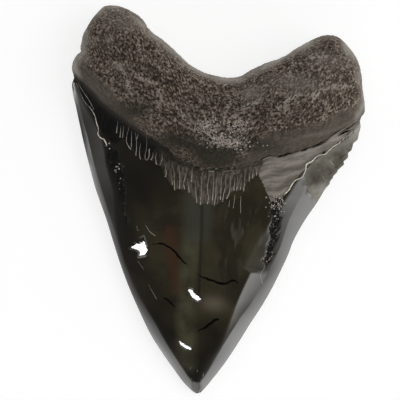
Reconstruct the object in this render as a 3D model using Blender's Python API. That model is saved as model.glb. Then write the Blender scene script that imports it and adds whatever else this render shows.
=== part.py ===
"""A fossil megalodon tooth, lying on its flatter labial face, for Blender 4.5.

Looked down on, the tip points towards -Y, the two root lobes towards +Y, and the bulging lingual face is up.
The origin is under the middle of the outline, on the surface that the tooth lies on.

The body is a grid of rows and columns. A row runs across the tooth from its left edge to its right edge.
Rows start as a point at the tip, reach the chevron where the crown meets the root, and end on the forked top
of the root. The upper and the lower surface share the edge of the outline, where they meet.
"""
import bmesh
import bpy
import numpy as np

MM = 0.001

# Driving dimensions, in millimetres. The outline is 94 wide and 120 long, 127 from the tip to the left lobe.
TIP = (3.4, -60.3)
LEFT_JUNCTION = (-46.7, 34.2)
RIGHT_JUNCTION = (47.0, 34.1)

CROWN_LEFT_EDGE = [
    TIP, (1.6, -59.2), (-4.7, -53.3), (-13.2, -43.1), (-21.6, -28.9), (-28.2, -14.9),
    (-34.1, -2.0), (-37.6, 6.6), (-41.1, 16.0), (-44.7, 27.0), LEFT_JUNCTION,
]
CROWN_RIGHT_EDGE = [
    TIP, (5.4, -58.5), (11.4, -49.2), (18.1, -35.8), (26.1, -17.8), (30.8, -3.9),
    (35.5, 5.3), (39.7, 15.7), (43.5, 21.5), (46.1, 29.2), RIGHT_JUNCTION,
]
# Up the left side, over the left lobe, through the notch, over the right lobe and down the right side.
ROOT_EDGE = [
    LEFT_JUNCTION, (-46.8, 41.5), (-45.0, 46.2), (-43.7, 52.4),
    (-40.3, 58.1), (-36.3, 60.3), (-31.0, 59.4), (-23.0, 53.0), (-9.1, 43.6), (2.0, 41.0),
    (9.7, 44.3), (19.0, 49.3), (27.0, 55.2), (33.3, 58.1), (38.7, 55.7),
    (43.2, 50.8), (45.3, 44.8), (46.6, 38.0), RIGHT_JUNCTION,
]
LEFT_LOBE_POINT = 4
RIGHT_LOBE_POINT = 14
# The chevron where the enamel stops and the root starts, from the left junction to the right one.
ROOT_LINE = [
    LEFT_JUNCTION, (-39.9, 31.0), (-28.8, 23.2), (-18.0, 17.8), (-9.4, 12.6), (-2.9, 10.6),
    (7.4, 11.8), (15.0, 15.2), (23.1, 18.1), (33.5, 22.7), (40.9, 28.3), RIGHT_JUNCTION,
]

# How far up the tooth a row is: 0 at the tip, ROOT_START on the chevron, 1 on the forked top.
ROOT_START = 0.66
# (how far up, height in mm) of the outline's edge above the resting surface.
EDGE_HEIGHT = [(0.0, 3.2), (0.3, 4.2), (0.6, 6.0), (0.75, 8.5), (1.0, 10.0)]
# (how far up, height in mm) of the lingual bulge above that edge, along the middle of the tooth.
BULGE_HEIGHT = [
    (0.0, 0.0), (0.03, 2.2), (0.1, 4.2), (0.25, 6.3), (0.45, 9.1), (0.65, 12.3),
    (0.68, 13.5), (0.76, 15.9), (0.86, 14.7), (0.93, 12.1), (0.97, 9.2), (0.99, 5.8), (1.0, 0.0),
]
# The section across the tooth is (1 - across ** FULLNESS) ** ROUNDING: a lens on the crown, and a round-sided
# slab on the root. It changes from one to the other over the rows on either side of the chevron.
CROWN_FULLNESS, CROWN_ROUNDING = 2.1, 1.0
ROOT_FULLNESS, ROOT_ROUNDING = 3.4, 0.5
SECTION_CHANGE = (0.64, 0.74)

# The labial face lies flat out to this share of the half width, and between these two rows. Past them it
# turns up to the edge, as a slow curve on the crown and as a quarter round on the root.
CROWN_FLAT_SHARE, ROOT_FLAT_SHARE = 0.42, 0.66
FLAT_ROWS = (0.12, 0.88)

CROWN_ROWS = 26
ROOT_ROWS = 17
COLUMNS = 40
EDGE_CROWDING = 0.6         # 0 spaces columns and root rows evenly, 1 crowds them towards the outline
CURVE_STEPS = 24            # straight steps between two points of an outline
SHARP_EDGE_DEGREES = 40

TOOTH_COLOUR = (0.035, 0.032, 0.028, 1.0)
TOOTH_ROUGHNESS = 0.35


def clear_scene():
    for old in list(bpy.data.objects):
        bpy.data.objects.remove(old, do_unlink=True)


def smooth_curve(points):
    """A smooth curve through the points, with CURVE_STEPS straight steps between each two of them."""
    points = np.array(points, dtype=float)
    steps = np.diff(points, axis=0)
    gaps = np.linalg.norm(steps, axis=1)[:, None]
    slopes = steps / gaps
    inner = (slopes[:-1] * gaps[1:] + slopes[1:] * gaps[:-1]) / (gaps[:-1] + gaps[1:])
    slopes = np.vstack([slopes[:1], inner, slopes[-1:]])
    curve = []
    for i in range(len(points) - 1):
        for step in range(CURVE_STEPS):
            k = step / CURVE_STEPS
            start = (1 + 2 * k) * (1 - k) ** 2 * points[i]
            leave = k * (1 - k) ** 2 * gaps[i] * slopes[i]
            end = k * k * (3 - 2 * k) * points[i + 1]
            arrive = k * k * (k - 1) * gaps[i] * slopes[i + 1]
            curve.append(start + leave + end + arrive)
    return np.vstack([curve, points[-1:]])


def spread(curve, shares):
    """Points on the curve at these shares of its length."""
    lengths = np.linalg.norm(np.diff(curve, axis=0), axis=1)
    so_far = np.concatenate([[0.0], np.cumsum(lengths)]) / lengths.sum()
    return np.column_stack([np.interp(shares, so_far, curve[:, i]) for i in range(curve.shape[1])])


def crowded(even):
    """Shares from -1 to 1, moved towards both ends."""
    return (1 - EDGE_CROWDING) * even + EDGE_CROWDING * np.sin(even * np.pi / 2)


def patch(left, right, bottom, top, up, over):
    """Points that fill the four-sided area between these edges, at one share up it and at the shares over."""
    across = np.outer(1 - over, left) + np.outer(over, right)
    along = (1 - up) * bottom + up * top
    lower = np.outer(1 - over, bottom[0]) + np.outer(over, bottom[-1])
    upper = np.outer(1 - over, top[0]) + np.outer(over, top[-1])
    return across + along - (1 - up) * lower - up * upper


def outline_rows(over):
    """Every row as its share of the way up the tooth and its points in plan."""
    root_edge = smooth_curve(ROOT_EDGE)
    left_lobe = LEFT_LOBE_POINT * CURVE_STEPS
    right_lobe = RIGHT_LOBE_POINT * CURVE_STEPS
    chevron = spread(smooth_curve(ROOT_LINE), over)
    forked_top = spread(root_edge[left_lobe : right_lobe + 1], over)
    point = np.tile(TIP, (len(over), 1))
    rows = []
    ups = np.arange(CROWN_ROWS) / CROWN_ROWS
    left = spread(smooth_curve(CROWN_LEFT_EDGE), ups)
    right = spread(smooth_curve(CROWN_RIGHT_EDGE), ups)
    for i, up in enumerate(ups):
        rows.append((ROOT_START * up, patch(left[i], right[i], point, chevron, up, over)))
    ups = crowded(np.arange(ROOT_ROWS + 1) / ROOT_ROWS)
    left = spread(root_edge[: left_lobe + 1], ups)
    right = spread(root_edge[right_lobe:][::-1], ups)
    for i, up in enumerate(ups):
        plan = patch(left[i], right[i], chevron, forked_top, up, over)
        rows.append((ROOT_START + (1 - ROOT_START) * up, plan))
    return rows


def height_at(stations, up):
    curve = smooth_curve(stations)
    return float(np.interp(up, curve[:, 0], curve[:, 1]))


def ease(low, high, value):
    """0 up to low, 1 from high on, and a smooth ramp between them."""
    share = np.clip((value - low) / (high - low), 0.0, 1.0)
    return share * share * (3 - 2 * share)


def upper_heights(up, across):
    """The lingual surface: a lens on the crown and a round-sided slab on the root."""
    change = ease(*SECTION_CHANGE, up)
    fullness = CROWN_FULLNESS + (ROOT_FULLNESS - CROWN_FULLNESS) * change
    rounding = CROWN_ROUNDING + (ROOT_ROUNDING - CROWN_ROUNDING) * change
    section = (1 - np.abs(across) ** fullness) ** rounding
    return height_at(EDGE_HEIGHT, up) + height_at(BULGE_HEIGHT, up) * section


def still_flat(past, rounding):
    """1 where the labial face is flat, 0 at the edge. Past is 0 at the flat's border and 1 at the edge."""
    return (1 - np.clip(past, 0, 1) ** 2) ** rounding


def lower_heights(up, across):
    """The labial surface: flat in the middle, turning up at the sides, the tip and the lobes."""
    change = ease(*SECTION_CHANGE, up)
    flat_share = CROWN_FLAT_SHARE + (ROOT_FLAT_SHARE - CROWN_FLAT_SHARE) * change
    rounding = CROWN_ROUNDING + (ROOT_ROUNDING - CROWN_ROUNDING) * change
    tip_end, root_end = FLAT_ROWS
    flat = still_flat((np.abs(across) - flat_share) / (1 - flat_share), rounding)
    flat *= still_flat(1 - up / tip_end, CROWN_ROUNDING)
    flat *= still_flat((up - root_end) / (1 - root_end), ROOT_ROUNDING)
    return height_at(EDGE_HEIGHT, up) * (1 - flat)


def build_tooth():
    across = crowded(np.linspace(-1, 1, COLUMNS + 1))
    rows = outline_rows((across + 1) / 2)
    plans = np.vstack([plan for _, plan in rows])
    centre = (plans.min(axis=0) + plans.max(axis=0)) / 2

    bm = bmesh.new()
    tip = bm.verts.new((*(MM * (np.array(TIP) - centre)), MM * height_at(EDGE_HEIGHT, 0)))
    upper, lower = [[tip] * (COLUMNS + 1)], [[tip] * (COLUMNS + 1)]
    for up, plan in rows[1:]:
        tops, bottoms = upper_heights(up, across), lower_heights(up, across)
        upper.append([])
        lower.append([])
        for i, (x, y) in enumerate(MM * (plan - centre)):
            on_outline = i in (0, COLUMNS) or up == 1.0
            rim = MM * height_at(EDGE_HEIGHT, up)
            top = bm.verts.new((x, y, rim if on_outline else MM * tops[i]))
            upper[-1].append(top)
            lower[-1].append(top if on_outline else bm.verts.new((x, y, MM * bottoms[i])))

    for sheet, faces_up in ((upper, True), (lower, False)):
        for below, above in zip(sheet, sheet[1:]):
            for i in range(COLUMNS):
                corners = [below[i], below[i + 1], above[i + 1], above[i]]
                corners = list(dict.fromkeys(corners))
                bm.faces.new(corners if faces_up else corners[::-1])

    resting = [face for face in bm.faces if all(vert.co.z == 0 for vert in face.verts)]
    bmesh.ops.dissolve_faces(bm, faces=resting)
    bmesh.ops.recalc_face_normals(bm, faces=bm.faces)
    mesh = bpy.data.meshes.new("megalodon_tooth")
    bm.to_mesh(mesh)
    bm.free()
    mesh.shade_smooth()
    mesh.set_sharp_from_angle(angle=np.radians(SHARP_EDGE_DEGREES))
    return mesh


def tooth_material():
    material = bpy.data.materials.new("fossil_tooth")
    material.use_nodes = True
    shader = material.node_tree.nodes["Principled BSDF"]
    shader.inputs["Base Color"].default_value = TOOTH_COLOUR
    shader.inputs["Roughness"].default_value = TOOTH_ROUGHNESS
    shader.inputs["Metallic"].default_value = 0.0
    return material


def main():
    clear_scene()
    mesh = build_tooth()
    mesh.materials.append(tooth_material())
    tooth = bpy.data.objects.new("megalodon_tooth", mesh)
    bpy.context.collection.objects.link(tooth)


main()
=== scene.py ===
"""A fossil megalodon tooth, polished black, lying on its flatter labial face and looked down on.

The tip points towards -Y, the two root lobes towards +Y, and the bulging lingual face is up. The outline
and every feature drawn on it are in millimetres seen from above. A mesh is made in metres.
"""

import math

import bmesh
import bpy
import numpy as np
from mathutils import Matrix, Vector
from mathutils.bvhtree import BVHTree


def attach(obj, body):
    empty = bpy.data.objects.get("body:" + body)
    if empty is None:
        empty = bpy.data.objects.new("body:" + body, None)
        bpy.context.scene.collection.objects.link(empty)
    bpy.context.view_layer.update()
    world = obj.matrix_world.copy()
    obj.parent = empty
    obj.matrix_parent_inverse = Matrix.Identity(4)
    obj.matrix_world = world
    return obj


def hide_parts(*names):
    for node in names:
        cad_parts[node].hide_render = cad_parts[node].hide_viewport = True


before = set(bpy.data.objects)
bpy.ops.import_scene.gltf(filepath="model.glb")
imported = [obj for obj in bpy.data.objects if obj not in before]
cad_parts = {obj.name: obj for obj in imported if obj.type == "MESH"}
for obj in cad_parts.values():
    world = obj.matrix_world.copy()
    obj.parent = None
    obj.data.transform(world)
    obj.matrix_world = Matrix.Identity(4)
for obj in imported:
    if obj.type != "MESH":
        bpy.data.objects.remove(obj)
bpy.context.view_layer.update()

MM = 0.001
BODY = "root"
CAD_TOOTH = "megalodon_tooth"

# --------------------------------------------------------------------------------------------------
# The outline, in millimetres. The crown's edges run from the tip up to the two junctions with the root.
# --------------------------------------------------------------------------------------------------
TIP = (3.35, -60.4)
LEFT_JUNCTION = (-46.1, 35.8)
RIGHT_JUNCTION = (46.3, 33.0)
CROWN_LEFT_EDGE = [
    TIP, (2.4, -60.05), (1.1, -59.2), (-1.1, -57.4), (-4.7, -53.5), (-9.0, -48.6), (-13.2, -43.3),
    (-17.7, -36.0), (-21.7, -29.0), (-24.8, -22.8), (-28.3, -14.9), (-31.3, -7.8), (-34.1, -2.0),
    (-35.5, 1.0), (-37.7, 6.6), (-39.4, 11.2), (-41.1, 16.0), (-42.9, 21.5), (-44.7, 27.0), (-46.1, 31.3),
    (-46.6, 34.1), LEFT_JUNCTION,
]
CROWN_RIGHT_EDGE = [
    TIP, (4.4, -60.0), (5.4, -58.8), (7.9, -55.1), (11.4, -49.4), (14.8, -42.9), (18.2, -35.9),
    (20.9, -30.7), (23.9, -23.9), (26.1, -17.9), (27.7, -13.2), (28.8, -8.9), (30.8, -3.9), (32.8, 0.2),
    (34.0, 2.3), (35.2, 4.5), (36.4, 7.1), (37.7, 9.7), (38.5, 10.7), (38.5, 12.0), (39.4, 12.8),
    (39.2, 13.9), (40.5, 14.7), (40.5, 15.8), (40.1, 16.6), (41.5, 16.8), (42.4, 17.3), (42.1, 18.9),
    (43.1, 19.3), (43.5, 20.2), (43.0, 21.5), (44.2, 22.0), (44.5, 23.4), (44.7, 24.6), (45.8, 25.6),
    (46.1, 27.6), (46.4, 30.1), (46.0, 31.7), RIGHT_JUNCTION,
]
# Up the left side, over the left lobe, through the notch, over the right lobe and down the right side.
ROOT_EDGE = [
    LEFT_JUNCTION, (-46.4, 36.7), (-47.1, 38.6), (-46.8, 41.5), (-45.9, 43.2), (-44.8, 44.6),
    (-45.0, 45.2), (-44.9, 47.1), (-44.6, 50.0), (-43.6, 52.3), (-42.3, 55.0), (-40.8, 57.1),
    (-38.6, 59.6), (-36.2, 60.1), (-30.9, 59.2), (-27.4, 57.5), (-22.9, 52.9), (-19.4, 50.9),
    (-15.3, 48.0), (-9.1, 43.5), (-4.5, 41.8), (-0.3, 41.1), (2.0, 41.0), (6.3, 41.8), (9.7, 44.2),
    (14.2, 46.9), (19.0, 49.2), (22.3, 51.8), (26.9, 55.1), (30.4, 57.1), (33.2, 57.9), (36.1, 57.5),
    (38.2, 56.1), (39.2, 54.6), (41.4, 52.8), (43.1, 50.7), (43.9, 49.1), (44.8, 46.6), (45.7, 41.9),
    (46.9, 36.6), (47.1, 34.7), RIGHT_JUNCTION,
]
LEFT_LOBE_POINT = 11
RIGHT_LOBE_POINT = 33
# The chevron where the enamel stops and the root starts, on the lingual face and on the labial face.
ROOT_LINE = [
    LEFT_JUNCTION, (-39.7, 30.9), (-37.0, 28.4), (-34.1, 26.5), (-28.6, 23.0), (-25.5, 21.4),
    (-21.1, 19.1), (-17.8, 17.6), (-14.6, 16.0), (-12.0, 13.9), (-9.3, 12.5), (-6.0, 11.4), (-2.9, 10.5),
    (1.0, 10.8), (7.2, 11.7), (11.1, 13.0), (14.8, 15.0), (18.0, 17.0), (22.8, 17.9), (26.6, 19.6),
    (30.5, 21.2), (33.2, 22.6), (35.3, 24.1), (37.8, 26.4), (40.7, 28.2), (43.2, 29.6), RIGHT_JUNCTION,
]
LABIAL_ROOT_LINE = [
    LEFT_JUNCTION, (-34.0, 30.0), (-18.0, 24.5), (1.0, 22.0), (20.0, 24.0), (35.0, 28.5), RIGHT_JUNCTION,
]

# --------------------------------------------------------------------------------------------------
# The body's heights, in millimetres.
# --------------------------------------------------------------------------------------------------
# How far up the tooth a row is: 0 at the tip, ROOT_START on the chevron, 1 on the forked top.
ROOT_START = 0.66
# (how far up, height) of the outline's edge above the resting surface, and of the bulge above that edge.
EDGE_HEIGHT = [(0.0, 3.2), (0.3, 4.2), (0.6, 6.0), (0.75, 8.5), (1.0, 10.0)]
BULGE_HEIGHT = [
    (0.0, 2.4), (0.03, 2.7), (0.06, 3.3), (0.1, 4.2), (0.25, 6.2), (0.45, 9.0), (0.65, 12.2),
    (0.68, 13.5), (0.76, 15.8), (0.86, 14.6), (0.93, 12.0), (0.97, 9.2), (0.99, 5.8), (1.0, 0.0),
]
CROWN_FULLNESS, CROWN_ROUNDING = 2.0, 1.0
ROOT_FULLNESS, ROOT_ROUNDING = 3.4, 0.5
SECTION_CHANGE = (0.655, 0.74)
CROWN_FLAT_SHARE, ROOT_FLAT_SHARE = 0.42, 0.66
FLAT_ROWS = (0.12, 0.88)
# Each side of the crown was polished in two cuts, a bevel along the edge and a flange inside it. A station is
# y, then the bevel's width and its slope at the edge and on its inner side, then the same for the flange, in
# millimetres and degrees.
LEFT_CUTS = [
    (-60.0, 2.6, 41.4, 40.3, 0.5, 28.0, 26.0), (-54.0, 2.5, 42.2, 40.3, 0.5, 30.0, 27.0),
    (-48.5, 2.8, 42.8, 40.0, 0.8, 35.0, 30.0), (-39.5, 3.2, 42.3, 38.5, 1.0, 35.0, 30.0),
    (-30.0, 1.9, 41.0, 35.5, 1.4, 33.5, 29.0), (-20.5, 1.5, 40.8, 35.5, 1.2, 32.0, 29.0),
    (-11.0, 1.6, 41.0, 38.5, 1.8, 36.5, 31.0), (-1.0, 1.7, 41.5, 38.5, 4.0, 34.5, 33.5),
    (8.5, 1.7, 42.0, 39.5, 4.6, 36.0, 36.0), (14.0, 1.7, 38.0, 41.5, 4.8, 34.5, 37.0),
    (18.0, 1.7, 34.0, 41.0, 5.0, 34.0, 36.5), (23.0, 1.4, 35.0, 38.0, 4.0, 34.0, 34.5),
    (29.6, 1.2, 41.0, 38.0, 3.0, 35.5, 34.5), (36.0, 0.8, 42.0, 40.0, 2.0, 36.0, 35.0),
]
RIGHT_CUTS = [
    (-60.0, 2.6, 41.6, 40.0, 0.5, 28.0, 26.0), (-54.0, 2.7, 42.2, 39.5, 0.5, 30.0, 27.0),
    (-48.5, 3.3, 42.6, 38.0, 0.5, 34.0, 30.0), (-44.0, 3.8, 42.6, 39.0, 1.0, 31.0, 31.0),
    (-39.5, 3.9, 42.6, 39.8, 1.8, 30.0, 33.5), (-34.4, 3.8, 42.5, 38.5, 2.9, 32.0, 37.0),
    (-30.0, 3.2, 41.4, 37.5, 4.2, 33.0, 39.5), (-24.8, 3.3, 41.2, 35.5, 5.2, 35.5, 39.5),
    (-20.0, 3.4, 41.0, 33.5, 5.8, 37.0, 39.5), (-18.3, 3.4, 41.0, 33.5, 5.8, 31.0, 27.5),
    (-11.0, 3.6, 41.2, 37.0, 5.8, 30.5, 27.0), (-1.0, 5.2, 40.8, 38.0, 3.6, 34.0, 31.0),
    (5.7, 6.0, 40.2, 38.0, 4.7, 36.0, 35.0), (10.6, 6.0, 39.5, 37.0, 4.3, 37.0, 36.0),
    (14.6, 5.6, 38.0, 36.5, 4.0, 37.0, 36.0), (19.2, 5.0, 38.0, 36.5, 3.6, 37.0, 36.0),
    (24.0, 3.0, 38.5, 37.0, 2.2, 37.0, 36.0), (27.6, 1.6, 39.0, 37.0, 1.0, 37.0, 36.0),
    (36.0, 1.0, 39.0, 37.0, 0.6, 37.0, 36.0),
]
CUT_REACH = 13.0            # how far in from the crown's edge the cuts can reach
# How high the lens between the cuts would stand above each side of the outline: (y, height).
LEFT_LIFT = [
    (-61.0, 2.0), (-56.0, 1.9), (-52.0, 1.3), (-44.0, 1.35), (-40.0, 1.5), (-32.0, 1.1), (-24.0, 0.85),
    (-16.0, 0.85), (-8.0, 1.15), (0.0, 1.85), (8.0, 2.2), (16.0, 2.3), (24.0, 1.5), (32.0, 0.9),
    (50.0, 0.6),
]
RIGHT_LIFT = [
    (-61.0, 2.0), (-56.0, 2.0), (-52.0, 1.6), (-44.0, 2.5), (-36.0, 4.0), (-28.0, 5.4), (-20.0, 5.7),
    (-12.0, 5.35), (-4.0, 5.1), (4.0, 5.2), (12.0, 4.8), (20.0, 3.0), (28.0, 0.9), (36.0, 0.6),
    (50.0, 0.6),
]
# The even edges that the cuts were ground along.
LEFT_GUIDE = [
    TIP, (2.4, -60.05), (1.1, -59.2), (-4.7, -53.5), (-13.2, -43.3), (-21.7, -29.0), (-28.3, -14.9),
    (-34.1, -2.0), (-37.7, 6.6), (-41.1, 16.0), (-44.7, 27.0), (-46.6, 34.1), (-47.0, 40.0),
]
RIGHT_GUIDE = [
    TIP, (4.4, -60.0), (5.4, -58.8), (11.4, -49.4), (18.2, -35.9), (26.1, -17.9), (31.5, -3.9), (36.5, 6.0),
    (41.0, 14.5), (44.5, 22.0), (46.5, 29.2), (47.0, 36.0),
]
GUIDE_POINTS = 120
# The crown's length along its sides, and by how much it is shorter in the middle.
CROWN_SIDE_LENGTH, CHEVRON_DIP, CHEVRON_BEND = 95.5, 24.3, 1.6
# Over what width the two sides' cuts blend: at the very tip, at most, and how fast it grows from there.
TIP_ROUNDING_START, TIP_ROUNDING, TIP_ROUNDING_GROWTH = 0.05, 2.0, 0.8
CREASE_SOFTNESS, TIP_SOFTNESS = 0.35, 0.2
CUTS_END = 0.05             # how much farther up than the root line the cuts still show
LABIAL_SECTION_CHANGE = (0.64, 0.74)

# How far the root stands above the enamel, over what width it rises, and how wide the dip at its foot is.
ROOT_STEP, ROOT_STEP_WIDTH, ROOT_FOOT_WIDTH = 0.2, 1.6, 0.4
# How far the worn places lie below the enamel.
BAND_DEPTH, PIT_DEPTH, SCALLOP_DEPTH = 0.08, 0.1, 0.5
BAND_FADE, SCALLOP_FADE = 0.7, 1.5

# Random clouds: how many values they are made of along each side, and (spacing, seed) of each use.
CLOUD_CELLS = 211
WIDE_RAGS, FINE_RAGS = (1.3, 3), (0.6, 4)
SCALLOP_CLOUDS, CLEFT_CLOUDS = (1.9, 8), (2.2, 11)
STRIP_RAGGEDNESS, STRIP_FADE = 1.5, 0.3

# --------------------------------------------------------------------------------------------------
# Features drawn on the lingual face, in millimetres.
# --------------------------------------------------------------------------------------------------
BOURRELET_LOWER_EDGE = [
    (-45.9, 33.9), (-41.7, 27.9), (-37.9, 22.5), (-34.6, 17.8), (-30.5, 15.6), (-28.1, 17.7),
    (-25.3, 15.1), (-23.8, 13.1), (-22.4, 12.3), (-20.4, 11.8), (-18.9, 12.3), (-16.8, 10.9),
    (-15.8, 10.7), (-13.8, 7.6), (-10.6, 3.6), (-7.3, 4.0), (-5.8, 3.3), (-3.0, 0.6), (-2.0, -0.2),
    (0.4, 0.3), (2.7, -0.1), (5.2, 1.6), (6.7, 3.5), (8.2, 5.4), (11.3, 5.6), (12.6, 9.2), (13.7, 9.7),
    (15.1, 11.4), (16.9, 8.4), (18.9, 4.8), (21.9, 0.7), (23.7, 1.8), (24.2, 5.7), (27.2, 10.6),
    (30.2, 14.6), (33.7, 19.2), (37.6, 22.0), (41.7, 25.8), (44.3, 28.3), (46.0, 31.7),
]
# The point of the lower edge, and the x on the root line, where the bourrelet turns pale and smooth.
PALE_BAND_START, PALE_BAND_START_X = 27, 15.0
BOURRELET_PALES = (-21.0, -8.0)             # the bourrelet turns from black to brown between these x
# The threads of the bourrelet, from the root line down.
BOURRELET_THREADS = [
    [(-30.6, 23.5), (-30.7, 19.7)], [(-29.5, 22.0), (-29.4, 18.4)], [(-28.6, 22.1), (-28.6, 18.3)],
    [(-26.9, 22.1), (-27.0, 16.7), (-25.6, 15.0)], [(-25.9, 20.7), (-25.5, 15.8)],
    [(-24.7, 20.4), (-24.1, 18.0), (-23.8, 13.2)], [(-23.7, 20.1), (-24.0, 18.4)],
    [(-22.6, 17.3), (-22.8, 14.6), (-22.3, 12.2)],
    [(-20.9, 19.3), (-20.7, 15.6), (-20.8, 12.9), (-20.3, 12.0), (-19.8, 12.7), (-19.7, 15.7)],
    [(-18.5, 14.7), (-18.4, 13.4), (-18.9, 12.3)], [(-17.3, 14.8), (-17.5, 13.3), (-16.9, 11.0)],
    [(-15.7, 14.6), (-15.3, 13.1), (-15.8, 11.1)],
    [(-13.6, 12.1), (-14.0, 10.2), (-13.6, 8.8), (-13.9, 7.5)], [(-11.7, 7.5), (-11.3, 5.2)],
    [(-11.5, 11.0), (-11.0, 8.0), (-10.4, 3.6)], [(-10.0, 11.7), (-9.4, 9.1), (-9.1, 6.4), (-8.9, 4.1)],
    [(-7.4, 11.4), (-7.5, 8.1), (-7.8, 6.0), (-7.3, 4.2)], [(-6.8, 7.8), (-5.8, 3.3)],
    [(-5.6, 11.3), (-5.4, 6.7)], [(-4.3, 7.4), (-3.9, 4.6), (-3.0, 0.4)],
    [(-2.3, 10.1), (-2.3, 7.0), (-1.8, 3.5), (-2.0, 1.4), (-1.8, -0.1)],
    [(-0.1, 10.5), (-0.2, 6.3), (0.1, 3.9), (0.5, 1.9), (0.3, 0.3)], [(1.3, 10.5), (1.6, 6.5), (1.8, 1.6)],
    [(2.6, 10.2), (2.4, 7.7), (2.6, 3.7), (2.6, 0.1)], [(4.0, 10.8), (4.0, 7.7), (4.3, 2.1)],
    [(5.2, 10.2), (5.4, 6.9), (5.1, 3.8), (5.0, 1.5)], [(6.7, 11.0), (6.9, 7.5), (6.6, 3.7), (6.1, 2.5)],
    [(8.1, 9.6), (8.2, 5.4)], [(8.8, 10.4), (9.3, 7.1), (9.0, 5.5)], [(10.3, 9.2), (10.2, 5.9)],
    [(11.2, 12.0), (11.3, 8.5), (11.3, 5.5)], [(12.5, 11.7), (12.7, 8.8)], [(13.6, 12.7), (13.6, 9.8)],
    [(14.8, 13.9), (14.8, 11.0)],
]
THREAD_WIDTH = 0.24
# The cream enamel edge that shows on the right flange and on the left one: (x, y, width).
CREAM_EDGE_RIGHT = [
    (24.2, 5.7, 0.35), (25.6, 7.6, 0.5), (27.2, 10.6, 0.35), (29.4, 12.0, 0.22), (30.2, 14.6, 0.45),
    (30.2, 15.9, 0.5), (32.0, 17.4, 0.5), (33.7, 19.2, 0.28), (35.9, 20.0, 0.22), (37.6, 22.0, 0.32),
    (39.7, 23.8, 0.2), (41.7, 25.8, 0.14), (42.9, 26.9, 0.12), (44.3, 28.3, 0.12),
]
CREAM_EDGE_LEFT = [
    (-40.4, 27.3, 0.1), (-39.6, 26.5, 0.15), (-38.3, 24.7, 0.25), (-37.5, 22.6, 0.3), (-36.6, 20.1, 0.3),
    (-36.6, 18.8, 0.3), (-35.5, 17.7, 0.35), (-34.5, 17.4, 0.45), (-33.9, 16.5, 0.55), (-33.3, 15.3, 0.3),
]
# The mineral-filled cracks: (x, y, width).
CRACKS = [
    [(-15.7, -14.2, 0.2), (-12.3, -13.8, 0.7), (-10.0, -14.8, 0.8), (-7.9, -16.2, 0.9), (-6.2, -17.9, 0.8),
     (-3.9, -19.6, 0.3)],
    [(-1.0, -21.8, 0.2), (1.2, -22.9, 0.5), (3.4, -23.5, 1.0), (5.4, -23.9, 0.8), (7.6, -24.5, 1.1),
     (9.3, -24.0, 0.7), (11.0, -22.9, 0.9), (12.0, -23.2, 0.5), (12.7, -24.0, 0.2)],
    [(-10.3, -30.9, 0.6), (-9.1, -31.4, 0.8), (-7.9, -32.2, 0.7), (-6.4, -33.7, 0.3)],
    [(7.9, -35.7, 0.7), (6.6, -36.2, 1.1), (5.5, -37.4, 0.9), (4.3, -38.3, 1.2), (3.4, -39.4, 0.8),
     (2.2, -39.8, 0.5), (1.4, -40.9, 0.2)],
]

# Black lines laid as painted shade in the clefts under the right half of the root: (x, y, width).
ROOT_CLEFT_SHADE_LINES = [
    [(38.6, 25.8, 0.2), (39.8, 26.5, 0.5), (41.5, 27.6, 0.7), (43.0, 28.4, 0.3)],
    [(36.0, 24.1, 0.2), (33.9, 22.8, 0.5), (32.1, 22.1, 0.35), (30.2, 21.2, 0.55), (27.8, 20.1, 0.2)],
    [(21.0, 17.4, 0.2), (23.1, 18.3, 0.5), (25.3, 19.2, 0.2)],
]

# Small flat facets on the lingual face: an outline and how fast its height grows towards +X and towards +Y.
LEFT_FACET = [
    (-23.0, -16.4), (-20.4, -13.4), (-18.6, -12.1), (-17.4, -14.8), (-16.7, -16.7), (-17.4, -18.2),
    (-19.9, -19.0), (-19.6, -17.2), (-21.0, -16.7),
]
MIDDLE_FACET = [
    (-2.9, -26.8), (-1.4, -27.0), (0.7, -28.6), (1.7, -30.2), (0.4, -31.0), (-1.6, -29.9), (-2.8, -28.5),
]
LOW_FACET = [
    (-4.8, -43.1), (-3.5, -43.5), (-1.1, -45.0), (0.3, -45.7), (0.0, -46.7), (-1.8, -46.4), (-3.5, -45.4),
]
FACETS = [(LEFT_FACET, (0.36, -0.10)), (MIDDLE_FACET, (-0.10, -0.11)), (LOW_FACET, (-0.10, -0.11))]
FACET_FADE = 0.12

# The black pitted strips inside the two flanges: (x, y, half width).
LEFT_PITS = [
    (-32.9, 15.4, 0.7), (-31.1, 12.7, 2.1), (-29.4, 9.3, 1.9), (-27.9, 5.0, 1.6), (-27.1, 1.6, 1.2),
    (-26.7, -0.3, 0.5), (-25.4, -4.9, 0.3), (-24.6, -9.2, 0.2),
]
RIGHT_PITS = [(22.3, 2.7, 1.6), (22.3, -3.1, 1.7), (22.4, -7.9, 1.5), (21.9, -11.3, 1.4), (21.1, -15.9, 1.0)]
GRAINS_IN_PITS = 0.07
CRYSTAL_CRUSTS = [((-2.0, 24.4), (2.8, 2.0)), ((7.0, 26.0), (3.0, 2.0)), ((3.8, 20.3), (5.8, 1.6))]
# (x, height above the root line) of the smooth dark skin on the root, left and right.
SMOOTH_SKIN = [
    (-47.0, 4.0), (-43.0, 6.0), (-40.0, 7.0), (-34.0, 6.4), (-29.0, 4.5), (-24.5, 2.0), (-21.0, -1.0),
    (7.0, -1.0), (9.0, 2.0), (13.0, 6.0), (18.0, 8.0), (24.0, 7.5), (30.0, 7.0), (36.0, 6.4), (42.0, 6.0),
    (47.0, 5.0),
]
RUST_STREAK = [(-10.5, -10.0), (-9.3, -15.4), (-7.8, -21.0), (-6.3, -27.0)]
OLIVE_STREAK = [(-3.6, -12.0), (-3.5, -21.8), (-3.0, -35.6), (-2.2, -40.3), (-0.6, -50.5)]
GREY_STREAK = [(-2.5, 2.5), (-1.8, -8.1)]
GROOVE = [(-1.3, -0.5), (-0.7, -6.5), (-0.2, -14.4), (0.2, -22.4), (0.6, -27.8)]
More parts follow.
